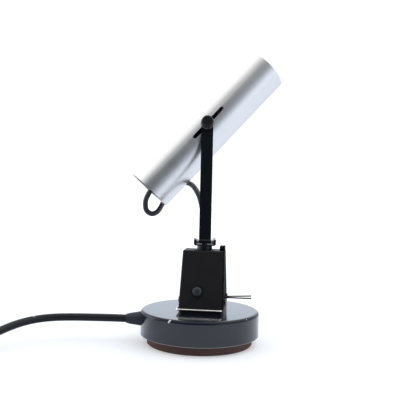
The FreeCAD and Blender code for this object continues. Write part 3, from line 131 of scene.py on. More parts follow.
class Graph:
    """The nodes of a material or a world, built by method calls."""

    shaders = ("ShaderNodeBsdfPrincipled", "ShaderNodeBackground")

    def __init__(self, owner: Owner) -> None:
        """Start from the shader that comes with the owner's nodes."""
        owner.use_nodes = True
        self.owner = owner
        self.tree = owner.node_tree
        self.shader = next(item for item in self.tree.nodes if item.bl_idname in self.shaders)
        self._place: Optional[Value] = None

    @classmethod
    def of_material(cls, name: str) -> "Graph":
        """Start a new material."""
        return cls(bpy.data.materials.new(name))

    def node(self, kind: str, settings: Optional[dict] = None,
             inputs: Optional[dict] = None) -> dict[str, Value]:
        """Add a node.

        Args:
            kind: the node's type.
            settings: its own properties, set first.
            inputs: values or links, by socket name or number.

        Returns:
            Its outputs, by name.
        """
        item = self.tree.nodes.new(kind)
        for name, value in (settings or {}).items():
            setattr(item, name, value)
        for name, value in (inputs or {}).items():
            self.feed(item.inputs[name], value)
        return {socket.name: Value(self, socket) for socket in item.outputs if socket.enabled}

    def feed(self, socket: bpy.types.NodeSocket, value: object) -> None:
        """Give a socket its value.

        Args:
            socket: an input of a node.
            value: a value to link, or a number, colour or vector for the socket's own.
        """
        if isinstance(value, Value):
            self.tree.links.new(value.socket, socket)
        elif isinstance(value, tuple) and socket.type == "RGBA":
            socket.default_value = (*value, 1.0)
        else:
            socket.default_value = value

    def math(self, operation: str, first: Number, second: Number) -> Value:
        """Add a Math node."""
        return self.node("ShaderNodeMath", {"operation": operation},
                         {0: first, 1: second})["Value"]

    def mix(self, factor: Number, first: object, second: object) -> Value:
        """Mix two colours.

        Args:
            factor: how much of the second colour shows.
            first: a colour or a value.
            second: a colour or a value.

        Returns:
            The mixed colour.
        """
        item = self.tree.nodes.new("ShaderNodeMix")
        item.data_type = "RGBA"
        for name, value in (("Factor_Float", factor), ("A_Color", first), ("B_Color", second)):
            socket = next(one for one in item.inputs if one.identifier == name)
            self.feed(socket, value)
        result = next(one for one in item.outputs if one.identifier == "Result_Color")
        return Value(self, result)

    def place(self) -> Value:
        """Object coordinates, in metres."""
        if self._place is None:
            self._place = self.node("ShaderNodeTexCoord")["Object"]
        return self._place

    def along(self, frame: Matrix) -> Value:
        """Object coordinates seen from a frame: its X, Y and Z axes and its origin."""
        return self.node("ShaderNodeMapping", {"vector_type": "TEXTURE"}, {
            "Vector": self.place(), "Location": frame.to_translation(),
            "Rotation": frame.to_euler()})["Vector"]

    def split(self, vector: Value) -> list[Value]:
        """X, Y and Z of a vector."""
        return list(self.node("ShaderNodeSeparateXYZ", None, {"Vector": vector}).values())

    def up(self) -> Value:
        """How far the surface faces up: 1 where level, 0 where upright, -1 underneath."""
        return self.split(self.node("ShaderNodeNewGeometry")["Normal"])[2]

    def distance(self, point: Sequence[float]) -> Value:
        """Distance from a point, in metres."""
        return self.node("ShaderNodeVectorMath", {"operation": "DISTANCE"},
                         {0: self.place(), 1: tuple(point)})["Value"]

    def noise(self, pattern: Noise, place: Optional[Value] = None) -> Value:
        """Add a noise.

        Args:
            pattern: the noise's size, detail and pull.
            place: the coordinates it reads, or None for the object's own.

        Returns:
            The noise, from 0 to 1.
        """
        vector = self.place() if place is None else place
        if pattern.pull is not None:
            vector = self.node("ShaderNodeVectorMath", {"operation": "MULTIPLY"},
                               {0: vector, 1: pattern.pull})["Vector"]
        return self.node("ShaderNodeTexNoise", {"noise_dimensions": "3D"}, {
            "Vector": vector, "Scale": 1.0 / pattern.size, "Detail": pattern.detail,
            "Roughness": pattern.roughness})["Fac"]

    def marks(self, pattern: Noise, place: Optional[Value] = None) -> Value:
        """Marks where a noise is high, from 0 to 1."""
        return self.noise(pattern, place).ramp(*pattern.marks)

    def spots(self, marks: Sequence[Mark], broken: Value, fray: float, core: float) -> Number:
        """Spots about marked points, with outlines broken by noise.

        Args:
            marks: X, Y, Z and radius of each spot, in millimetres.
            broken: noise from 0 to 1.
            fray: how far the noise moves an outline, in metres.
            core: share of the radius inside which a spot is full.

        Returns:
            1 in a spot and 0 away from all of them.
        """
        spots: Number = 0.0
        for *point, radius in marks:
            near = self.distance([part * MM for part in point])
            spot = (near + (broken - 0.5) * fray).ramp(radius * MM, radius * core * MM)
            spots = spot.at_least(spots)
        return spots

    def bump(self, height: Value, depth: float, normal: Optional[Value] = None) -> Value:
        """Turn a height into a normal.

        Args:
            height: from 0 to 1.
            depth: how far 1 lies above 0, in metres.
            normal: another bump under this one.

        Returns:
            The normal.
        """
        inputs = {"Height": height, "Distance": depth, "Strength": 1.0}
        if normal is not None:
            inputs["Normal"] = normal
        return self.node("ShaderNodeBump", None, inputs)["Normal"]

    def finish(self, **sockets: object) -> Owner:
        """Give the shader's sockets their values.

        Args:
            **sockets: a value for each socket, named with _ for a space.

        Returns:
            The material or world.
        """
        for name, value in sockets.items():
            self.feed(self.shader.inputs[name.replace("_", " ")], value)
        return self.owner


@dataclass(frozen=True)
class Finish:
    """A finish with small uneven tone, gloss and surface; the plain kind.

    Attributes:
        name: the material's name.
        colour: linear colour.
        roughness: middle of the roughness.
        metallic: 0 or 1.
        tone: how far the tone wanders, as a share.
        gloss: how far the roughness wanders.
        blotch: size of the wandering, in metres.
        grain: size of the fine surface grain, in metres.
        depth: depth of the surface's fine relief, in metres.
        coat: weight of a clear coat.
        coat_roughness: roughness of that coat.
        shine: level of the reflection, 0.5 being that of plain plastic.
    """

    name: str
    colour: Colour
    roughness: float = 0.4
    metallic: float = 0.0
    tone: float = 0.2
    gloss: float = 0.08
    blotch: float = 12.0 * MM
    grain: float = 1.2 * MM
    depth: float = 0.02 * MM
    coat: float = 0.0
    coat_roughness: float = 0.08
    shine: float = 0.5

    def tinted(self, graph: Graph, factor: Value) -> Value:
        """The colour, wandering in tone.

        Args:
            graph: the material's graph.
            factor: 0 for the darkest tone, 1 for the lightest.

        Returns:
            The colour between those tones.
        """
        dark = tuple(part * (1.0 - self.tone) for part in self.colour)
        light = tuple(min(1.0, part * (1.0 + self.tone)) for part in self.colour)
        return graph.mix(factor, dark, light)

    def wandering(self, factor: Value) -> Value:
        """The roughness, wandering with a factor from 0 to 1."""
        return (factor - 0.5) * (2.0 * self.gloss) + self.roughness

    def patches(self, graph: Graph) -> Value:
        """The noise that tone and gloss follow."""
        return graph.noise(Noise(self.blotch, detail=4.0))

    def grained(self, graph: Graph) -> Value:
        """The normal of the fine surface grain."""
        return graph.bump(graph.noise(Noise(self.grain, detail=2.0)), self.depth)

    def material(self) -> bpy.types.Material:
        """Build the material from patches and grain.

        Returns:
            The material.
        """
        graph = Graph.of_material(self.name)
        patches = self.patches(graph)
        return graph.finish(
            Base_Color=self.tinted(graph, patches), Metallic=self.metallic,
            Roughness=self.wandering(patches), Coat_Weight=self.coat,
            Coat_Roughness=self.coat_roughness, Specular_IOR_Level=self.shine,
            Normal=self.grained(graph))


@dataclass(frozen=True)
class StoveEnamel(Finish):
    """Blue-black enamel, glossier on top, with chips on the rim and a worn lower edge.

    Attributes:
        bare_and_highlight: colour of the metal where the enamel is gone.
        bare_dull: how much rougher that metal is.
        chips: X, Y, Z and radius of each chip, in millimetres.
        broken: noise along the outlines of chips and wear.
        chip_fray: how far it moves a chip's outline, in metres.
        chip_core: share of a chip's radius where no enamel is left.
        chip_depth: depth of the chips, in metres.
        wear: heights where the worn lower edge starts and is full, in metres.
        wear_fray: how far noise moves its outline, in metres.
        wear_weight: how far the worn edge shows the metal.
        top_facing: how far the surface faces up where the top starts and is full.
        side_facing: the same for the side, which the rounded rim parts from the top.
        side_dull: how much rougher the enamel is off the top.
        dust: patches of dust.
        specks: specks in that dust.
        speck_dull: how much rougher a speck is.
        scratches: fine scratches on the top.
        scratch_weight: how clear they are.
        marked: colour of specks and scratches.
        mark_weight: how far they hide the enamel.
        peel: the slight waves of a sprayed coat.
        peel_depth: depth of those waves, in metres.
        ior: refraction of the enamel.
        coat_ior: refraction of its glossy skin.
    """

    gloss: float = 0.05
    coat_roughness: float = 0.16
    bare_and_highlight: Colour = (0.80, 0.79, 0.77)
    bare_dull: float = 0.4
    chips: tuple[Mark, ...] = (
        (-21.8, -54.6, 32.5, 1.5), (-22.8, -54.8, 30.7, 1.2), (-19.6, -55.6, 32.6, 0.8),
        (7.7, -58.3, 32.6, 0.8), (48.4, -33.4, 32.2, 0.9), (33.0, 48.0, 32.4, 0.8),
        (-55.0, 21.0, 31.0, 0.7))
    broken: Noise = Noise(0.7 * MM, detail=3.0)
    chip_fray: float = 0.9 * MM
    chip_core: float = 0.75
    chip_depth: float = 0.06 * MM
    wear: Span = (9.6 * MM, 9.3 * MM)
    wear_fray: float = 0.25 * MM
    wear_weight: float = 0.35
    top_facing: Span = (0.80, 0.98)
    side_facing: Span = (0.2, 0.05)
    side_dull: float = 0.07
    dust: Noise = Noise(9.0 * MM, detail=5.0, marks=(0.45, 0.65))
    specks: Noise = Noise(0.8 * MM, detail=2.0, marks=(0.70, 0.78))
    speck_dull: float = 0.2
    scratches: Noise = Noise(0.5 * MM, detail=2.0, pull=(0.06, 1.0, 1.0), marks=(0.66, 0.78))
    scratch_weight: float = 0.25
    marked: Colour = (0.12, 0.12, 0.13)
    mark_weight: float = 0.35
    peel: Noise = Noise(2.2 * MM, detail=1.0)
    peel_depth: float = 0.010 * MM
    ior: float = 1.3
    coat_ior: float = 1.55

    def material(self) -> bpy.types.Material:
        """Build the enamel: top and side are told apart by which way the surface faces.

        Returns:
            The material.
        """
        graph = Graph.of_material(self.name)
        height = graph.split(graph.place())[2]
        up = graph.up()
        top = up.ramp(*self.top_facing)
        coated = top.at_least(up.ramp(*self.side_facing))
        broken = graph.noise(self.broken)
        chipped = graph.spots(self.chips, broken, self.chip_fray, self.chip_core)
        worn = (height + (broken - 0.5) * self.wear_fray).ramp(*self.wear)
        bare_and_highlight = (worn * self.wear_weight).at_least(chipped)
        dust = graph.noise(self.dust)
        specks = graph.marks(self.specks) * dust.ramp(*self.dust.marks)
        scratched = graph.marks(self.scratches) * top * self.scratch_weight
        tone = graph.mix(specks.at_least(scratched) * self.mark_weight,
                         self.tinted(graph, dust), self.marked)
        waves = graph.bump(graph.noise(self.peel), self.peel_depth)
        return graph.finish(
            Base_Color=graph.mix(bare_and_highlight, tone, self.bare_and_highlight),
            Roughness=self.wandering(dust) + bare_and_highlight * self.bare_dull + specks * self.speck_dull
            + (1.0 - top) * self.side_dull,
            IOR=self.ior, Coat_Weight=coated * (1.0 - bare_and_highlight), Coat_IOR=self.coat_ior,
            Coat_Roughness=self.coat_roughness,
            Normal=graph.bump(1.0 - bare_and_highlight, self.chip_depth, waves))


@dataclass(frozen=True)
class SatinPaint(Finish):
    """Satin black paint with faint rubbed marks, and dust on what faces up.

    Attributes:
        dust: colour of the dust.
        dust_facing: how far the surface faces up where dust starts and is full.
        dust_patches: the noise where dust starts and is full.
        dust_weight: how far it hides the paint.
        rubs: long rubbed marks.
        rubbed: their colour.
        rub_weight: how far they hide the paint.
    """

    dust: Colour = (0.16, 0.16, 0.17)
    dust_facing: Span = (0.35, 1.0)
    dust_patches: Span = (0.35, 0.7)
    dust_weight: float = 0.22
    rubs: Noise = Noise(1.0 * MM, detail=3.0, pull=(1.0, 1.0, 0.08), marks=(0.68, 0.8))
    rubbed: Colour = (0.10, 0.10, 0.11)
    rub_weight: float = 0.15

    def material(self) -> bpy.types.Material:
        """Build the paint: upright noise makes the rub marks.

        Returns:
            The material.
        """
        graph = Graph.of_material(self.name)
        patches = self.patches(graph)
        settled = graph.up().ramp(*self.dust_facing) * patches.ramp(*self.dust_patches)
        colour = graph.mix(settled * self.dust_weight, self.tinted(graph, patches), self.dust)
        rubs = graph.marks(self.rubs) * self.rub_weight
        return graph.finish(
            Base_Color=graph.mix(rubs, colour, self.rubbed), Roughness=self.wandering(patches),
            Specular_IOR_Level=self.shine, Normal=self.grained(graph))


@dataclass(frozen=True)
class PaintWithPaintedHighlights(Finish):
    """Glossy black paint with painted highlights: bright metal-coloured spots about marked
    points.

    Attributes:
        highlight_colour: colour of the painted highlights.
        highlight_dull: how much rougher the painted highlights are.
        marks: X, Y, Z and radius of each painted highlight, in millimetres.
        broken: noise along their outlines, and the paint's own relief.
        mark_fray: how far it moves an outline, in metres.
        mark_core: share of a painted highlight's radius that is full.
    """

    coat: float = 0.2
    coat_roughness: float = 0.15
    # Painted highlight: light lavender-grey metal colour of the bright spots.
    highlight_colour: Colour = (0.78, 0.76, 0.80)
    highlight_dull: float = 0.08
    marks: tuple[Mark, ...] = ()
    broken: Noise = Noise(0.9 * MM, detail=3.0)
    mark_fray: float = 1.6 * MM
    mark_core: float = 0.8

    def material(self) -> bpy.types.Material:
        """Build the paint with its painted highlights.

        Returns:
            The material.
        """
        graph = Graph.of_material(self.name)
        patches = self.patches(graph)
        broken = graph.noise(self.broken)
        # Painted highlight: bright metallic spots about the marks, standing in for reflections.
        bare_and_highlight = graph.spots(self.marks, broken, self.mark_fray, self.mark_core)
        return graph.finish(
            Base_Color=graph.mix(bare_and_highlight, self.tinted(graph, patches), self.highlight_colour), Metallic=bare_and_highlight,
            Roughness=self.wandering(patches) + bare_and_highlight * self.highlight_dull,
            Coat_Weight=(1.0 - bare_and_highlight) * self.coat, Coat_Roughness=self.coat_roughness,
            Specular_IOR_Level=self.shine, Normal=graph.bump(broken, self.depth))


@dataclass(frozen=True)
class PlatedWire(Finish):
    """Bright plated wire, with painted shade on its underside.

    Attributes:
        underside_shade: colour of the painted shade.
        shade_facing: how far the surface faces up where the painted shade starts and is full.
        shade_fray: how far noise moves that.
        shade_dull: how much rougher the shaded underside is.
    """

    # Painted shade: dark colour for the side of the wire that faces down.
    underside_shade: Colour = (0.05, 0.045, 0.04)
    shade_facing: Span = (0.05, -0.35)
    shade_fray: float = 0.4
    shade_dull: float = 0.2

    def material(self) -> bpy.types.Material:
        """Build the wire: the painted shade follows which way the surface faces.

        Returns:
            The material.
        """
        graph = Graph.of_material(self.name)
        patches = self.patches(graph)
        # Painted shade: darker and rougher where the wire faces down, with an edge broken by
        # noise.
        facing = graph.up() + (patches - 0.5) * self.shade_fray
        dull = facing.ramp(*self.shade_facing)
        return graph.finish(
            Base_Color=graph.mix(dull, self.tinted(graph, patches), self.underside_shade),
            Metallic=self.metallic,
            Roughness=self.wandering(patches) + dull * self.shade_dull,
            Normal=self.grained(graph))


@dataclass(frozen=True)
class DrawnAluminium(Finish):
    """Satin tube: fine lines along it, faint rings across it, small dents and stains.

    Attributes:
        lines: drawing lines along the tube.
        line_depth: their depth, in metres.
        line_gloss: how far they move the roughness.
        rings: turning rings across it.
        ring_gloss: how far they move the roughness.
        clouds: wide patches and shallow dents.
        dent_depth: the dents' depth, in metres.
        cloud_gloss: how far the patches move the roughness.
        stains: dull stains.
        stained: their colour.
        stain_weight: how far they hide the metal.
        stain_dull: how much rougher they are.
        scratches: short scratches aslant.
        scratch_dull: how much rougher they are.
    """

    lines: Noise = Noise(0.35 * MM, detail=3.0, pull=(0.02, 1.0, 1.0))
    line_depth: float = 0.006 * MM
    line_gloss: float = 0.10
    rings: Noise = Noise(1.6 * MM, detail=2.0, pull=(1.0, 0.03, 0.03))
    ring_gloss: float = 0.06
    clouds: Noise = Noise(16.0 * MM, detail=4.0)
    dent_depth: float = 0.05 * MM
    cloud_gloss: float = 0.08
    stains: Noise = Noise(5.0 * MM, detail=5.0, marks=(0.62, 0.74))
    stained: Colour = (0.45, 0.44, 0.42)
    stain_weight: float = 0.18
    stain_dull: float = 0.08
    scratches: Noise = Noise(0.5 * MM, detail=2.0, pull=(0.05, 0.7, 1.3), marks=(0.76, 0.84))
    scratch_dull: float = 0.12

    def material_on(self, frame: Matrix) -> bpy.types.Material:
        """Build the finish on the tube.

        Args:
            frame: X runs along the tube.

        Returns:
            The material; its lines are noise drawn out along the frame's X.
        """
        graph = Graph.of_material(self.name)
        place = graph.along(frame)
        lines = graph.noise(self.lines, place)
        rings = graph.noise(self.rings, place)
        clouds = graph.noise(self.clouds)
        stains = graph.marks(self.stains)
        scratches = graph.marks(self.scratches, place)
        uneven = ((lines - 0.5) * self.line_gloss + (rings - 0.5) * self.ring_gloss
                  + (clouds - 0.5) * self.cloud_gloss)
        drawn = graph.bump(lines, self.line_depth)
        return graph.finish(
            Base_Color=graph.mix(stains * self.stain_weight, self.tinted(graph, clouds),
                                 self.stained),
            Metallic=self.metallic,
            Roughness=uneven + stains * self.stain_dull + scratches * self.scratch_dull
            + self.roughness,
            Normal=graph.bump(clouds, self.dent_depth, drawn))


@dataclass(frozen=True)
class Sole(Finish):
    """Dark turned wood: growth lines across it and a dull, bruised lower edge.

    Attributes:
        growth: growth lines, along X.
        pores: pores along those lines.
        pore_colour: colour in the pores.
        pore_weight: how far they hide the wood.
        pore_depth: their depth, as a share of the relief.
        bruise: heights where the bruised edge starts and is full, in metres.
        bruise_fray: how far the growth lines move that, in metres.
        bruised: colour of the bruised edge.
        bruise_weight: how far it hides the wood.
    """

    gloss: float = 0.1
    depth: float = 0.05 * MM
    growth: Noise = Noise(2.4 * MM, detail=4.0, pull=(0.12, 1.0, 1.0))
    pores: Noise = Noise(0.5 * MM, detail=2.0, pull=(0.15, 1.0, 1.0), marks=(0.62, 0.75))
    pore_colour: Colour = (0.012, 0.009, 0.007)
    pore_weight: float = 0.6
    pore_depth: float = 0.5
    bruise: Span = (1.6 * MM, 0.7 * MM)
    bruise_fray: float = 0.8 * MM
    bruised: Colour = (0.11, 0.085, 0.07)
    bruise_weight: float = 0.5

    def material(self) -> bpy.types.Material:
        """Build the wood: long noise makes the growth lines, finer noise the pores.

        Returns:
            The material.
        """
        graph = Graph.of_material(self.name)
        height = graph.split(graph.place())[2]
        growth = graph.noise(self.growth)
        pores = graph.noise(self.pores)
        bruise = (height + growth * self.bruise_fray).ramp(*self.bruise)
        colour = graph.mix(bruise * self.bruise_weight, self.tinted(graph, growth), self.bruised)
        open_pores = pores.ramp(*self.pores.marks) * self.pore_weight
        return graph.finish(
            Base_Color=graph.mix(open_pores, colour, self.pore_colour),
            Roughness=self.wandering(growth), Specular_IOR_Level=self.shine,
            Normal=graph.bump(growth + pores * self.pore_depth, self.depth))


@dataclass(frozen=True)
class Flex(Finish):
    """Smooth black sheath with dust, dull patches and a few pale scuffs.

    Attributes:
        fine: fine relief of the sheath, and specks of dust on it.
        dusty: the patches where dust starts and is full.
        dust_weight: how clear the dust is.
        scuffs: X, Y, Z and radius of each scuff, in millimetres.
        scuff_fray: how far noise moves a scuff's outline, in metres.
        scuff_core: share of a scuff's radius that is full.
        scuff_weight: how clear a scuff is.
        pale: colour of dust and scuffs.
        pale_dull: how much rougher they are.
    """

    blotch: float = 14.0 * MM
    depth: float = 0.015 * MM
    coat_roughness: float = 0.25
    fine: Noise = Noise(0.9 * MM, detail=3.0, marks=(0.66, 0.80))
    dusty: Span = (0.5, 0.7)
    dust_weight: float = 0.4
    scuffs: tuple[Mark, ...] = ()
    scuff_fray: float = 2.0 * MM
    scuff_core: float = 0.4
    scuff_weight: float = 0.8
    pale: Colour = (0.22, 0.22, 0.23)
    pale_dull: float = 0.2

    def material(self) -> bpy.types.Material:
        """Build the sheath with its dust and scuffs.

        Returns:
            The material.
        """
        graph = Graph.of_material(self.name)
        patches = self.patches(graph)
        fine = graph.noise(self.fine)
        dust = fine.ramp(*self.fine.marks) * patches.ramp(*self.dusty) * self.dust_weight
        scuffs = graph.spots(self.scuffs, fine, self.scuff_fray, self.scuff_core)
        pale = dust.at_least(scuffs * self.scuff_weight)
        return graph.finish(
            Base_Color=graph.mix(pale, self.tinted(graph, patches), self.pale),
            Roughness=self.wandering(patches) + pale * self.pale_dull,
            Coat_Weight=self.coat, Coat_Roughness=self.coat_roughness,
            Specular_IOR_Level=self.shine, Normal=graph.bump(fine, self.depth))


@dataclass(frozen=True)
class ReflectorGlass(Finish):
    """Bulb glass: silvered behind, clear and slightly frosted at the front.

    Attributes:
        silver: colour of the silvering.
        streaks: streaks in glass and silvering.
        edge_fray: how far they move the silvering's edge, in metres.
        edge_width: how wide that edge is, in metres.
        clear: how much light goes through the glass.
        ior: refraction of the glass.
    """

    gloss: float = 0.03
    silver: Colour = (0.85, 0.85, 0.86)
    streaks: Noise = Noise(2.0 * MM, detail=3.0)
    edge_fray: float = 0.6 * MM
    edge_width: float = 0.6 * MM
    clear: float = 0.85
    ior: float = 1.5

    def material_on(self, frame: Matrix, edge: float) -> bpy.types.Material:
        """Build the finish on the bulb.

        Args:
            frame: X runs along the bulb to its front.
            edge: how far along X the silvering ends, in metres.

        Returns:
            The material; silver gives way to glass at the edge.
        """
        graph = Graph.of_material(self.name)
        along = graph.split(graph.along(frame))[0]
        streaks = graph.noise(self.streaks)
        half = self.edge_width / 2
        silver = (along + (streaks - 0.5) * self.edge_fray).ramp(edge + half, edge - half)
        return graph.finish(
            Base_Color=graph.mix(silver, self.colour, self.silver), Metallic=silver,
            Roughness=self.wandering(streaks), Transmission_Weight=self.clear, IOR=self.ior)


class Gloss(Enum):
    """The finishes of the lamp's pieces."""

    ENAMEL = StoveEnamel("stove_enamel", (0.0060, 0.0090, 0.0170), roughness=0.14, tone=0.15)
    HOUSING = SatinPaint("housing_paint", (0.0062, 0.0055, 0.0078), roughness=0.45, shine=0.36,
                         dust=(0.035, 0.035, 0.04))
    SIDE = SatinPaint("side_plate_paint", (0.0050, 0.0046, 0.0068), roughness=0.7, shine=0.06)
    ARM = SatinPaint("arm_paint", (0.0026, 0.0046, 0.0080), roughness=0.36, shine=0.24,
                     dust=(0.05, 0.055, 0.065))
    TUBE = DrawnAluminium("drawn_aluminium", (0.95, 0.945, 0.94), roughness=0.34,
                          metallic=1.0, tone=0.03)
    SOLE = Sole("dark_sole", (0.125, 0.064, 0.056), roughness=0.62, tone=0.35, shine=0.25)
    FLEX = Flex("mains_flex", (0.0065, 0.0088, 0.0135), roughness=0.42, shine=0.28,
                scuffs=((-160.0, -33.0, 25.2, 2.4),))
    THIN_FLEX = Flex("head_flex", (0.024, 0.026, 0.030), roughness=0.42, coat=0.3)
    # Painted highlights on the clevis: a large spot on the right ear, a small one on the left
    # ear.
    CLEVIS = PaintWithPaintedHighlights("clevis_painted_highlights", (0.006, 0.0075, 0.012), roughness=0.38, shine=0.3,
                       marks=((14.6, -6.0, 104.0, 3.6), (-7.6, -13.0, 103.0, 1.2)))
    WIRE = PlatedWire("plated_wire", (0.97, 0.95, 0.90), roughness=0.34, metallic=1.0,
                      tone=0.08, blotch=5.0 * MM, depth=0.008 * MM)
    CHROME = Finish("bright_plate", (0.86, 0.84, 0.80), roughness=0.20, metallic=1.0,
                    tone=0.08, blotch=5.0 * MM, depth=0.008 * MM)
    ZINC = Finish("zinc_plate", (0.52, 0.52, 0.53), roughness=0.42, metallic=1.0, tone=0.18,
                  blotch=4.0 * MM)
    STEEL = Finish("plain_steel", (0.42, 0.42, 0.43), metallic=1.0)
    DARK_STEEL = Finish("dark_steel", (0.075, 0.075, 0.08), roughness=0.38, metallic=1.0,
                        tone=0.3)
    BROWN_WIRE = Finish("brown_wire", (0.10, 0.055, 0.035), roughness=0.6, tone=0.3,
                        blotch=3.0 * MM, shine=0.2)
    BLACK_WIRE = Finish("black_wire", (0.02, 0.02, 0.022), roughness=0.6, tone=0.3,
                        blotch=3.0 * MM, shine=0.2)
    BRASS = Finish("brass", (0.60, 0.44, 0.18), roughness=0.30, metallic=1.0, tone=0.15)
    IRON = Finish("cast_iron", (0.055, 0.055, 0.058), roughness=0.75, tone=0.3,
                  grain=1.5 * MM, depth=0.15 * MM)
    RESIN = Finish("black_resin", (0.0085, 0.0088, 0.0115), roughness=0.32, shine=0.4)
    DOME = Finish("button_resin", (0.022, 0.026, 0.032), roughness=0.36)
    BROWN_RESIN = Finish("brown_resin", (0.055, 0.022, 0.012), roughness=0.30, tone=0.35)
    RUBBER = Finish("black_rubber", (0.017, 0.026, 0.037), roughness=0.55, tone=0.25,
                    depth=0.03 * MM)
    FIBRE = Finish("fibre", (0.16, 0.06, 0.03), roughness=0.7, tone=0.25)
    GLASS = ReflectorGlass("reflector_glass", (0.97, 0.97, 0.96), roughness=0.08)

    def material(self) -> bpy.types.Material:
        """A material in this finish."""
        return self.value.material()


def dress(material: bpy.types.Material, *nodes: str) -> None:
    """Give solids of the frame a material.

    Args:
        material: the finish.
        *nodes: the solids' names.
    """
    for name in nodes:
        item = FRAME["nodes"][name]
        item.data.materials.clear()
        item.data.materials.append(material)
        LOG.info("dressed %s in %s", name, material.name)


def frame_along(direction: Vector, origin: Vector) -> Matrix:
    """A frame at an origin whose X runs along a direction."""
    turn = Vector(direction).to_track_quat("X", "Z").to_matrix().to_4x4()
    return Matrix.Translation(origin) @ turn


def joint(name: str) -> dict:
    """The frame's record of a joint."""
    return next(one for one in FRAME["joints"] if one["name"] == name)


def route_curve(name: str, points: np.ndarray, radius: float) -> bpy.types.Object:
    """A smooth flex along a route.

    Args:
        name: the object's name.
        points: control points of an order 3 spline, in metres.
        radius: half the flex's diameter, in metres, or 0 for a bare line.

    Returns:
        The curve's object.
    """
    curve = bpy.data.curves.new(name, "CURVE")
    curve.dimensions = "3D"
    curve.resolution_u = STEPS_PER_RUN
    curve.bevel_depth = radius
    curve.bevel_resolution = STEPS_PER_QUARTER
    curve.use_fill_caps = radius > 0
    spline = curve.splines.new("NURBS")
    spline.points.add(len(points) - 1)
    flat = np.ones((len(points), 4))
    flat[:, :3] = points
    spline.points.foreach_set("co", flat.ravel())
    spline.order_u = 3
    spline.use_endpoint_u = True
    item = bpy.data.objects.new(name, curve)
    bpy.context.scene.collection.objects.link(item)
    return item


def line_points(points: np.ndarray) -> np.ndarray:
    """Read a route's smooth line.

    Args:
        points: control points of the route, in metres.

    Returns:
        Points along the line, as Blender works them out.
    """
    line = route_curve("route_line", points, 0.0)
    depsgraph = bpy.context.evaluated_depsgraph_get()
    mesh = bpy.data.meshes.new_from_object(line.evaluated_get(depsgraph))
    co = np.empty(3 * len(mesh.vertices))
    mesh.vertices.foreach_get("co", co)
    bpy.data.objects.remove(line)
    bpy.data.meshes.remove(mesh)
    return co.reshape(-1, 3)


def tube_mesh(name: str, path: np.ndarray, radius: float) -> bpy.types.Object:
    """A round tube along a path.

    The surface is path(t) + radius (cos a N(t) + sin a B(t)), where N is kept square to
    the path by carrying it from point to point, and B is the cross product.

    Args:
        name: the object's name.
        path: points along the middle, in metres.
        radius: the tube's radius, in metres.

    Returns:
        The tube's object, closed by a flat cap at each end.
    """
    sides = TUBE_SIDES
    tangent = np.gradient(path, axis=0)
    tangent /= np.linalg.norm(tangent, axis=1, keepdims=True)
    normal = np.empty_like(path)
    first = np.cross(tangent[0], (0.0, 0.0, 1.0))
    if np.linalg.norm(first) < NEARLY_UPRIGHT:
        first = np.cross(tangent[0], (1.0, 0.0, 0.0))
    normal[0] = first / np.linalg.norm(first)
    for step in range(1, len(path)):
        carried = normal[step - 1] - tangent[step] * (normal[step - 1] @ tangent[step])
        normal[step] = carried / np.linalg.norm(carried)
    across = np.cross(tangent, normal)
    angle = np.linspace(0.0, 2.0 * math.pi, sides, endpoint=False)
    ring = (normal[:, None, :] * np.cos(angle)[None, :, None]
            + across[:, None, :] * np.sin(angle)[None, :, None])
    points = (path[:, None, :] + radius * ring).reshape(-1, 3)
    rows = np.arange(len(path) - 1)[:, None] * sides
    column = np.arange(sides)[None, :]
    after = (column + 1) % sides
    quads = np.stack([rows + column, rows + after, rows + sides + after, rows + sides + column],
                     axis=-1).reshape(-1, 4)
    last_ring = (len(path) - 1) * sides
    caps = [list(range(sides))[::-1], list(range(last_ring, last_ring + sides))]
    mesh = bpy.data.meshes.new(name)
    mesh.from_pydata(points.tolist(), [], quads.tolist() + caps)
    mesh.polygons.foreach_set("use_smooth", [True] * len(quads) + [False, False])
    item = bpy.data.objects.new(name, mesh)
    bpy.context.scene.collection.objects.link(item)
    return item


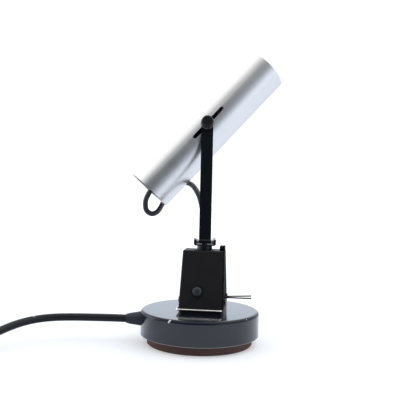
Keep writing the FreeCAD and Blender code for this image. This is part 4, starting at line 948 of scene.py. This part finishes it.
@dataclass
class MainsFlex:
    """The flex from the gland, out of view at the left, round its coil and to the plug.

    Attributes:
        diameter: across the flex, in metres.
        route: control points from the gland to the coil, in millimetres.
        pitch: from one turn to the next, and between the coil's two layers, in millimetres.
        inner_radius: of the half turn that climbs to the upper layer, in millimetres.
        turns: whole turns in each layer, besides that half turn.
        points_per_half: control points in each half turn.
        tail: control points after the coil: X and Y in millimetres, and a share of the rise.
        plug_axis_height: height at which the flex enters the plug, in millimetres.
        length: of the whole flex, in metres; not used.
    """

    diameter: float = 7.6 * MM
    route: tuple = (
        (-71.93, -14.63, 23.5), (-86.04, -17.50, 24.0), (-104.0, -17.5, 23.6),
        (-128.5, -19.0, 23.2), (-148.5, -23.5, 22.6), (-164.0, -34.5, 21.4),
        (-174.0, -52.0, 19.6), (-181.0, -74.0, 17.0), (-195.0, -97.0, 12.0),
        (-216.0, -112.4, 6.6), (-241.0, -116.0, 3.9), (-267.0, -116.0, 3.9))
    pitch: float = 8.2
    inner_radius: float = 30.8
    turns: int = 2
    points_per_half: int = 8
    tail: tuple = ((15.0, 0.0, 0.0), (30.6, 9.0, 0.3), (39.6, 24.6, 0.6), (39.6, 42.6, 0.9),
                   (30.6, 58.2, 1.0), (15.0, 67.2, 1.0), (-2.0, 67.2, 1.0))
    plug_axis_height: float = 14.1
    length: float = 1.51

    def half_turn(self, start: np.ndarray, radius: float, side: float,
                  climb: float) -> np.ndarray:
        """Control points of one half turn.

        They are centre - R side (sin a, cos a), with R a little larger than the turn,
        because a smooth line passes inside its points.

        Args:
            start: where the half turn begins, in millimetres.
            radius: its radius, in millimetres.
            side: 1 for a turn towards +Y, -1 for one towards -Y.
            climb: how far it rises, in millimetres.

        Returns:
            Points after the start, up to the half turn's end.
        """
        step = math.pi / self.points_per_half
        angle = np.arange(0.5, self.points_per_half) * step
        swell = radius / (0.5 + 0.5 * math.cos(step / 2) ** 2)
        centre = start + np.array((0.0, radius * side, 0.0))
        return np.stack([
            centre[0] - swell * np.sin(angle) * side,
            centre[1] - swell * np.cos(angle) * side,
            centre[2] + climb * angle / math.pi], axis=1)

    def coil(self, start: np.ndarray) -> tuple[np.ndarray, np.ndarray]:
        """Control points of both layers, wound inwards below and outwards above.

        Args:
            start: where the coil begins, in millimetres.

        Returns:
            The control points, and the point where the coil ends.
        """
        halves = 2 * self.turns
        inwards = [self.inner_radius + self.pitch / 2 * step for step in range(halves, 0, -1)]
        radii = [*inwards, self.inner_radius, *reversed(inwards)]
        straight = np.array((self.diameter / MM, 0.0, 0.0))
        point = start - straight
        points = [point[None, :]]
        side = 1.0
        for number, radius in enumerate(radii):
            climb = self.pitch if number == halves else 0.0
            points.append(self.half_turn(point, radius, side, climb))
            point = point + np.array((0.0, 2.0 * radius * side, climb))
            side = -side
        points.append(point[None, :])
        return np.concatenate(points), point + straight

    def build(self) -> bpy.types.Object:
        """Returns:
            The flex's curve.
        """
        route = np.array(self.route)
        coil, finish = self.coil(route[-1])
        rise = self.plug_axis_height - finish[2]
        tail = [finish + np.array((x, y, share * rise)) for x, y, share in self.tail]
        points = np.concatenate([route, coil, finish[None, :], np.array(tail)]) * MM
        item = route_curve("mains_flex", points, self.diameter / 2)
        item.data.materials.append(Gloss.FLEX.material())
        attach(item, "base")
        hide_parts("mains_cord", "mains_coil", "mains_tail")
        LOG.info("mains flex of %d points", len(points))
        return item


@dataclass
class HeadFlex:
    """The limp flex from the lampholder, in its loops, down behind the arm to the swivel.

    It crosses three joints, so it is made as three lengths that meet square to each other.

    Attributes:
        diameter: across the flex, in metres.
        start_along: where it leaves the lampholder, along the tube, in metres.
        mouth_along: a point near the tube's rear end, along the tube, in metres.
        route: control points from there to the swivel, in millimetres.
        shares: where the second and third lengths start, as shares of the whole.
        bodies: the two bodies that each length joins; not used.
    """

    diameter: float = 5.5 * MM
    start_along: float = -45.5 * MM
    mouth_along: float = -76.0 * MM
    route: tuple = (
        (-63.4, 26.0, 143.5), (-63.5, 26.2, 132.2), (-60.6, 26.9, 127.6),
        (-55.6, 28.8, 125.8), (-50.8, 34.2, 129.0), (-48.0, 41.6, 136.8),
        (-44.0, 48.6, 147.2), (-34.4, 52.4, 158.8), (-18.6, 43.4, 161.2),
        (-6.4, 22.5, 149.3), (-0.2, 10.0, 131.5), (1.4, 4.4, 113.0),
        (3.4, 0.0, 102.2), (3.4, 0.0, 82.2))
    shares: tuple = (0.42, 0.58)
    bodies: tuple = (("lamp_tube", "clamp"), ("clamp", "arm"), ("arm", "clevis"))

    def build(self, tube: Matrix) -> list[bpy.types.Object]:
        """Make the three lengths.

        Args:
            tube: the lamp tube's frame, X along it.

        Returns:
            The three objects.
        """
        inside = [tube @ Vector((along, 0.0, 0.0))
                  for along in (self.start_along, self.mouth_along)]
        points = np.concatenate([np.array(inside), np.array(self.route) * MM])
        path = line_points(points)
        steps = np.linalg.norm(np.diff(path, axis=0), axis=1)
        run = np.concatenate([[0.0], np.cumsum(steps)])
        cuts = [0, *(int(np.searchsorted(run, run[-1] * share)) for share in self.shares),
                len(path) - 1]
        finish = Gloss.THIN_FLEX.material()
        pieces = []
        for number, (first, last) in enumerate(zip(cuts, cuts[1:])):
            stretch = path[first:last + 1]
            item = tube_mesh(f"head_flex_{number + 1}", stretch, self.diameter / 2)
            item.data.materials.append(finish)
            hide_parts("head_cord")
            pieces.append(item)
        for item, (near, far), first, last in zip(pieces, self.bodies, cuts, cuts[1:]):
            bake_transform(item)
        LOG.info("head flex %.3f m long", run[-1])
        return pieces


@dataclass
class Base:
    """Enamelled base, its sole and fastenings."""

    def build(self) -> None:
        """Dress the base's solids."""
        dress(Gloss.ENAMEL.material(), "base_shell")
        dress(Gloss.SOLE.material(), "sole")
        dress(Gloss.IRON.material(), "ballast")
        dress(Gloss.STEEL.material(), "bottom_plate")
        dress(Gloss.ZINC.material(), "base_screws", "tie_bolts", "tie_nuts")
        dress(Gloss.RUBBER.material(), "cord_gland", "inner_lead", "hood_lead")


@dataclass
class Housing:
    """Tapered housing with its switch, bail and lever."""

    def build(self) -> None:
        """Dress the housing's solids."""
        dress(Gloss.HOUSING.material(), "pedestal_foot", "hood")
        dress(Gloss.SIDE.material(), "hood_side_plate")
        dress(Gloss.DARK_STEEL.material(), "hood_screws")
        dress(Gloss.BLACK_WIRE.material(), "lever_rod_lower")
        dress(Gloss.BROWN_WIRE.material(), "lever_rod_upper")
        dress(Gloss.ZINC.material(), "chassis", "lever_bracket", "lever_pin")
        dress(Gloss.BROWN_RESIN.material(), "terminal_block")
        dress(Gloss.BRASS.material(), "terminal_screws")
        dress(Gloss.RESIN.material(), "switch_body", "switch_bezel", "lever_hub")
        dress(Gloss.DOME.material(), "switch_button")
        dress(Gloss.WIRE.material(), "wire_bail")


@dataclass
class Carriage:
    """Swivel, clevis, arm, clamp and knob."""

    def build(self) -> None:
        """Dress the solids between the housing and the lamp tube."""
        dress(Gloss.CLEVIS.material(), "clevis", "swivel_bush")
        dress(Gloss.STEEL.material(), "swivel_stem", "spring_washer", "swivel_nut",
              "hinge_pin", "hinge_spacers", "clamp_stud")
        dress(Gloss.ARM.material(), "arm")
        dress(Gloss.ZINC.material(), "knob_washer", "clamp_plate")
        dress(Gloss.FIBRE.material(), "fibre_washer")
        dress(Gloss.RESIN.material(), "knob")


@dataclass
class LampTube:
    """Open aluminium tube with its lampholder and reflector bulb.

    Attributes:
        behind_arm: from the tilt joint's place to the tube's axis, in metres.
        bulb_back: where the bulb's silvering starts along the tube, in metres.
        silver_length: how far it reaches, in metres.
    """

    behind_arm: float = 26.35 * MM
    bulb_back: float = -0.5 * MM
    silver_length: float = 33.0 * MM

    def frame(self) -> Matrix:
        """Find the tube's own frame from the joints that carry it.

        Returns:
            A frame on the tube's axis, behind the tilt joint, with X along the tube.
        """
        tilt = joint("tube_tilt")
        behind = -Vector(tilt["axis"]).normalized()
        origin = Vector(tilt["pos_m"]) + behind * self.behind_arm
        return frame_along(Vector(joint("tube_slide")["axis"]), origin)

    def build(self, tube: Matrix) -> None:
        """Dress the lamp tube's solids.

        Args:
            tube: the tube's frame, X along it.
        """
        dress(Gloss.TUBE.value.material_on(tube), "head_tube")
        dress(Gloss.STEEL.material(), "lamp_carrier")
        dress(Gloss.ZINC.material(), "carrier_screws")
        dress(Gloss.RESIN.material(), "lampholder")
        dress(Gloss.BRASS.material(), "holder_nut", "bulb_contact", "bulb_cap")
        edge = self.bulb_back + self.silver_length
        dress(Gloss.GLASS.value.material_on(tube, edge), "bulb_glass")


@dataclass
class Plug:
    """Moulded plug and its prongs."""

    def build(self) -> None:
        """Dress the plug's solids."""
        dress(Gloss.RUBBER.material(), "mains_plug")
        dress(Gloss.CHROME.material(), "plug_prongs")


@dataclass(frozen=True)
class SoftLamp:
    """A square soft lamp.

    Attributes:
        name: its name.
        place: its middle, in metres.
        size: its side, in metres.
        power: its power, in watts.
    """

    name: str
    place: Place
    size: float
    power: float

    def build(self, aim: Vector) -> None:
        """Add the lamp.

        Args:
            aim: the place that it faces, in metres.
        """
        data = bpy.data.lights.new(self.name, "AREA")
        data.size = self.size
        data.energy = self.power
        item = bpy.data.objects.new(self.name, data)
        item.location = self.place
        ahead = aim - Vector(self.place)
        item.rotation_euler = ahead.to_track_quat("-Z", "Y").to_euler()
        bpy.context.scene.collection.objects.link(item)


@dataclass
class Studio:
    """Floor, white surroundings, lamps and camera.

    Attributes:
        floor_reach: how far the floor goes sideways and back, in metres.
        floor_front: where it ends before the camera, in metres.
        floor_tone: its own colour.
        floor_roughness: its roughness.
        floor_glow: what is added near the lamp for the camera alone.
        far_glow: what is added far off.
        glow_spread: distances where the second takes over, in metres.
        camera_place: where the picture was taken from, in metres.
        bearing: how far the camera looks left of +Y, in degrees.
        pitch: how far it looks down, in degrees.
        roll: how far it leans, in degrees.
        lens: its focal length, in millimetres.
        sensor: width of its sensor, in millimetres.
        nearest: what lies nearer than this isn't seen, in metres.
        lamps: the soft lamps, at the upper right and at the left.
        aim: the place that they face, in metres.
        world_level: brightness of the surroundings in gloss.
        front_level: the same from the front.
        front_span: Y of a direction where the front ends and the rest is full.
        seen_level: brightness of the surroundings for the camera.
        low_tint: colour of the surroundings near the horizon, in gloss.
        tint_span: Z of a direction where that colour ends and white is full.
    """

    floor_reach: float = 20.0
    floor_front: float = -0.27
    floor_tone: Colour = (0.66, 0.70, 0.77)
    floor_roughness: float = 0.9
    floor_glow: Colour = (0.34, 0.33, 0.31)
    far_glow: Colour = (0.60, 0.60, 0.60)
    glow_spread: Span = (0.25, 0.9)
    camera_place: Place = (0.06551, -0.59642, 0.1531)
    bearing: float = 6.5
    pitch: float = 0.99
    roll: float = 1.32
    lens: float = 53.89
    sensor: float = 36.0
    nearest: float = 0.01
    lamps: tuple[SoftLamp, ...] = (
        SoftLamp("key", (0.50, 0.10, 0.95), size=0.8, power=2.0),
        SoftLamp("left", (-1.0, 0.15, 0.22), size=0.5, power=2.0))
    aim: Place = (0.0, 0.0, 0.12)
    world_level: float = 1.12
    front_level: float = 0.08
    front_span: Span = (-0.97, -0.48)
    seen_level: float = 1.06
    low_tint: Colour = (0.80, 0.88, 1.0)
    tint_span: Span = (0.25, 0.60)

    def floor(self) -> None:
        """White floor that ends before the camera and looks white where no shadow falls."""
        far, front = self.floor_reach, self.floor_front
        mesh = bpy.data.meshes.new("floor")
        mesh.from_pydata([(-far, front, 0), (far, front, 0), (far, far, 0), (-far, far, 0)],
                         [], [(0, 1, 2, 3)])
        item = bpy.data.objects.new("floor", mesh)
        bpy.context.scene.collection.objects.link(item)
        graph = Graph.of_material("white_floor")
        seen = graph.node("ShaderNodeLightPath")["Is Camera Ray"]
        far_off = graph.distance((0.0, 0.0, 0.0)).ramp(*self.glow_spread)
        glow = graph.mix(far_off, self.floor_glow, self.far_glow)
        mesh.materials.append(graph.finish(
            Base_Color=self.floor_tone, Roughness=self.floor_roughness,
            Emission_Color=graph.mix(seen, BLACK, glow), Emission_Strength=1.0))

    def surroundings(self) -> None:
        """White all round for the camera; in gloss dim at the front, bluish when low."""
        world = bpy.data.worlds.new("studio")
        bpy.context.scene.world = world
        graph = Graph(world)
        _, y, z = graph.split(graph.node("ShaderNodeTexCoord")["Generated"])
        seen = graph.node("ShaderNodeLightPath")["Is Camera Ray"]
        rise = self.world_level - self.front_level
        in_gloss = y.ramp(*self.front_span) * rise + self.front_level
        white = z.ramp(*self.tint_span).at_least(seen)
        graph.finish(Color=graph.mix(white, self.low_tint, WHITE),
                     Strength=in_gloss * (1.0 - seen) + seen * self.seen_level)

    def camera(self) -> None:
        """Camera where the picture was taken from, with no shift or depth of field."""
        data = bpy.data.cameras.new("camera")
        data.sensor_width = self.sensor
        data.lens = self.lens
        data.clip_start = self.nearest
        turn, down = math.radians(self.bearing), math.radians(self.pitch)
        ahead = Vector((-math.sin(turn) * math.cos(down), math.cos(turn) * math.cos(down),
                        -math.sin(down)))
        right = ahead.cross(Vector((0.0, 0.0, 1.0))).normalized()
        up = right.cross(ahead)
        tip = math.radians(self.roll)
        across = right * math.cos(tip) + up * math.sin(tip)
        above = up * math.cos(tip) - right * math.sin(tip)
        item = bpy.data.objects.new("camera", data)
        item.matrix_world = Matrix.Translation(self.camera_place) @ Matrix(
            (across, above, -ahead)).transposed().to_4x4()
        bpy.context.scene.collection.objects.link(item)
        bpy.context.scene.camera = item

    def build(self) -> None:
        """Set up the whole studio."""
        self.floor()
        self.surroundings()
        for lamp in self.lamps:
            lamp.build(Vector(self.aim))
        self.camera()
        bpy.context.scene.view_settings.view_transform = "Standard"


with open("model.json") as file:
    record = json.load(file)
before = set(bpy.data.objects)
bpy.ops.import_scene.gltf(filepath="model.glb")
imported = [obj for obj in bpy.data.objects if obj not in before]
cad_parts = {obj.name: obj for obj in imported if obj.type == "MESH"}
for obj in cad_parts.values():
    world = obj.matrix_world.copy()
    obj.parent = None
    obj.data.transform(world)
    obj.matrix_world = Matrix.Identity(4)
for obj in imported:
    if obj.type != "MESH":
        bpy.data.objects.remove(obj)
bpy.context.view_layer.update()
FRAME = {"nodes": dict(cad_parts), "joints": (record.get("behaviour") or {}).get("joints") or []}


def main() -> None:
    """Build the scene in order and report each piece."""
    logging.basicConfig(level=logging.INFO, format="%(message)s")
    lamp_tube = LampTube()
    tube = lamp_tube.frame()
    Studio().build()
    Base().build()
    Housing().build()
    Carriage().build()
    lamp_tube.build(tube)
    Plug().build()
    MainsFlex().build()
    HeadFlex().build(tube)


if __name__ == "__main__":
    main()
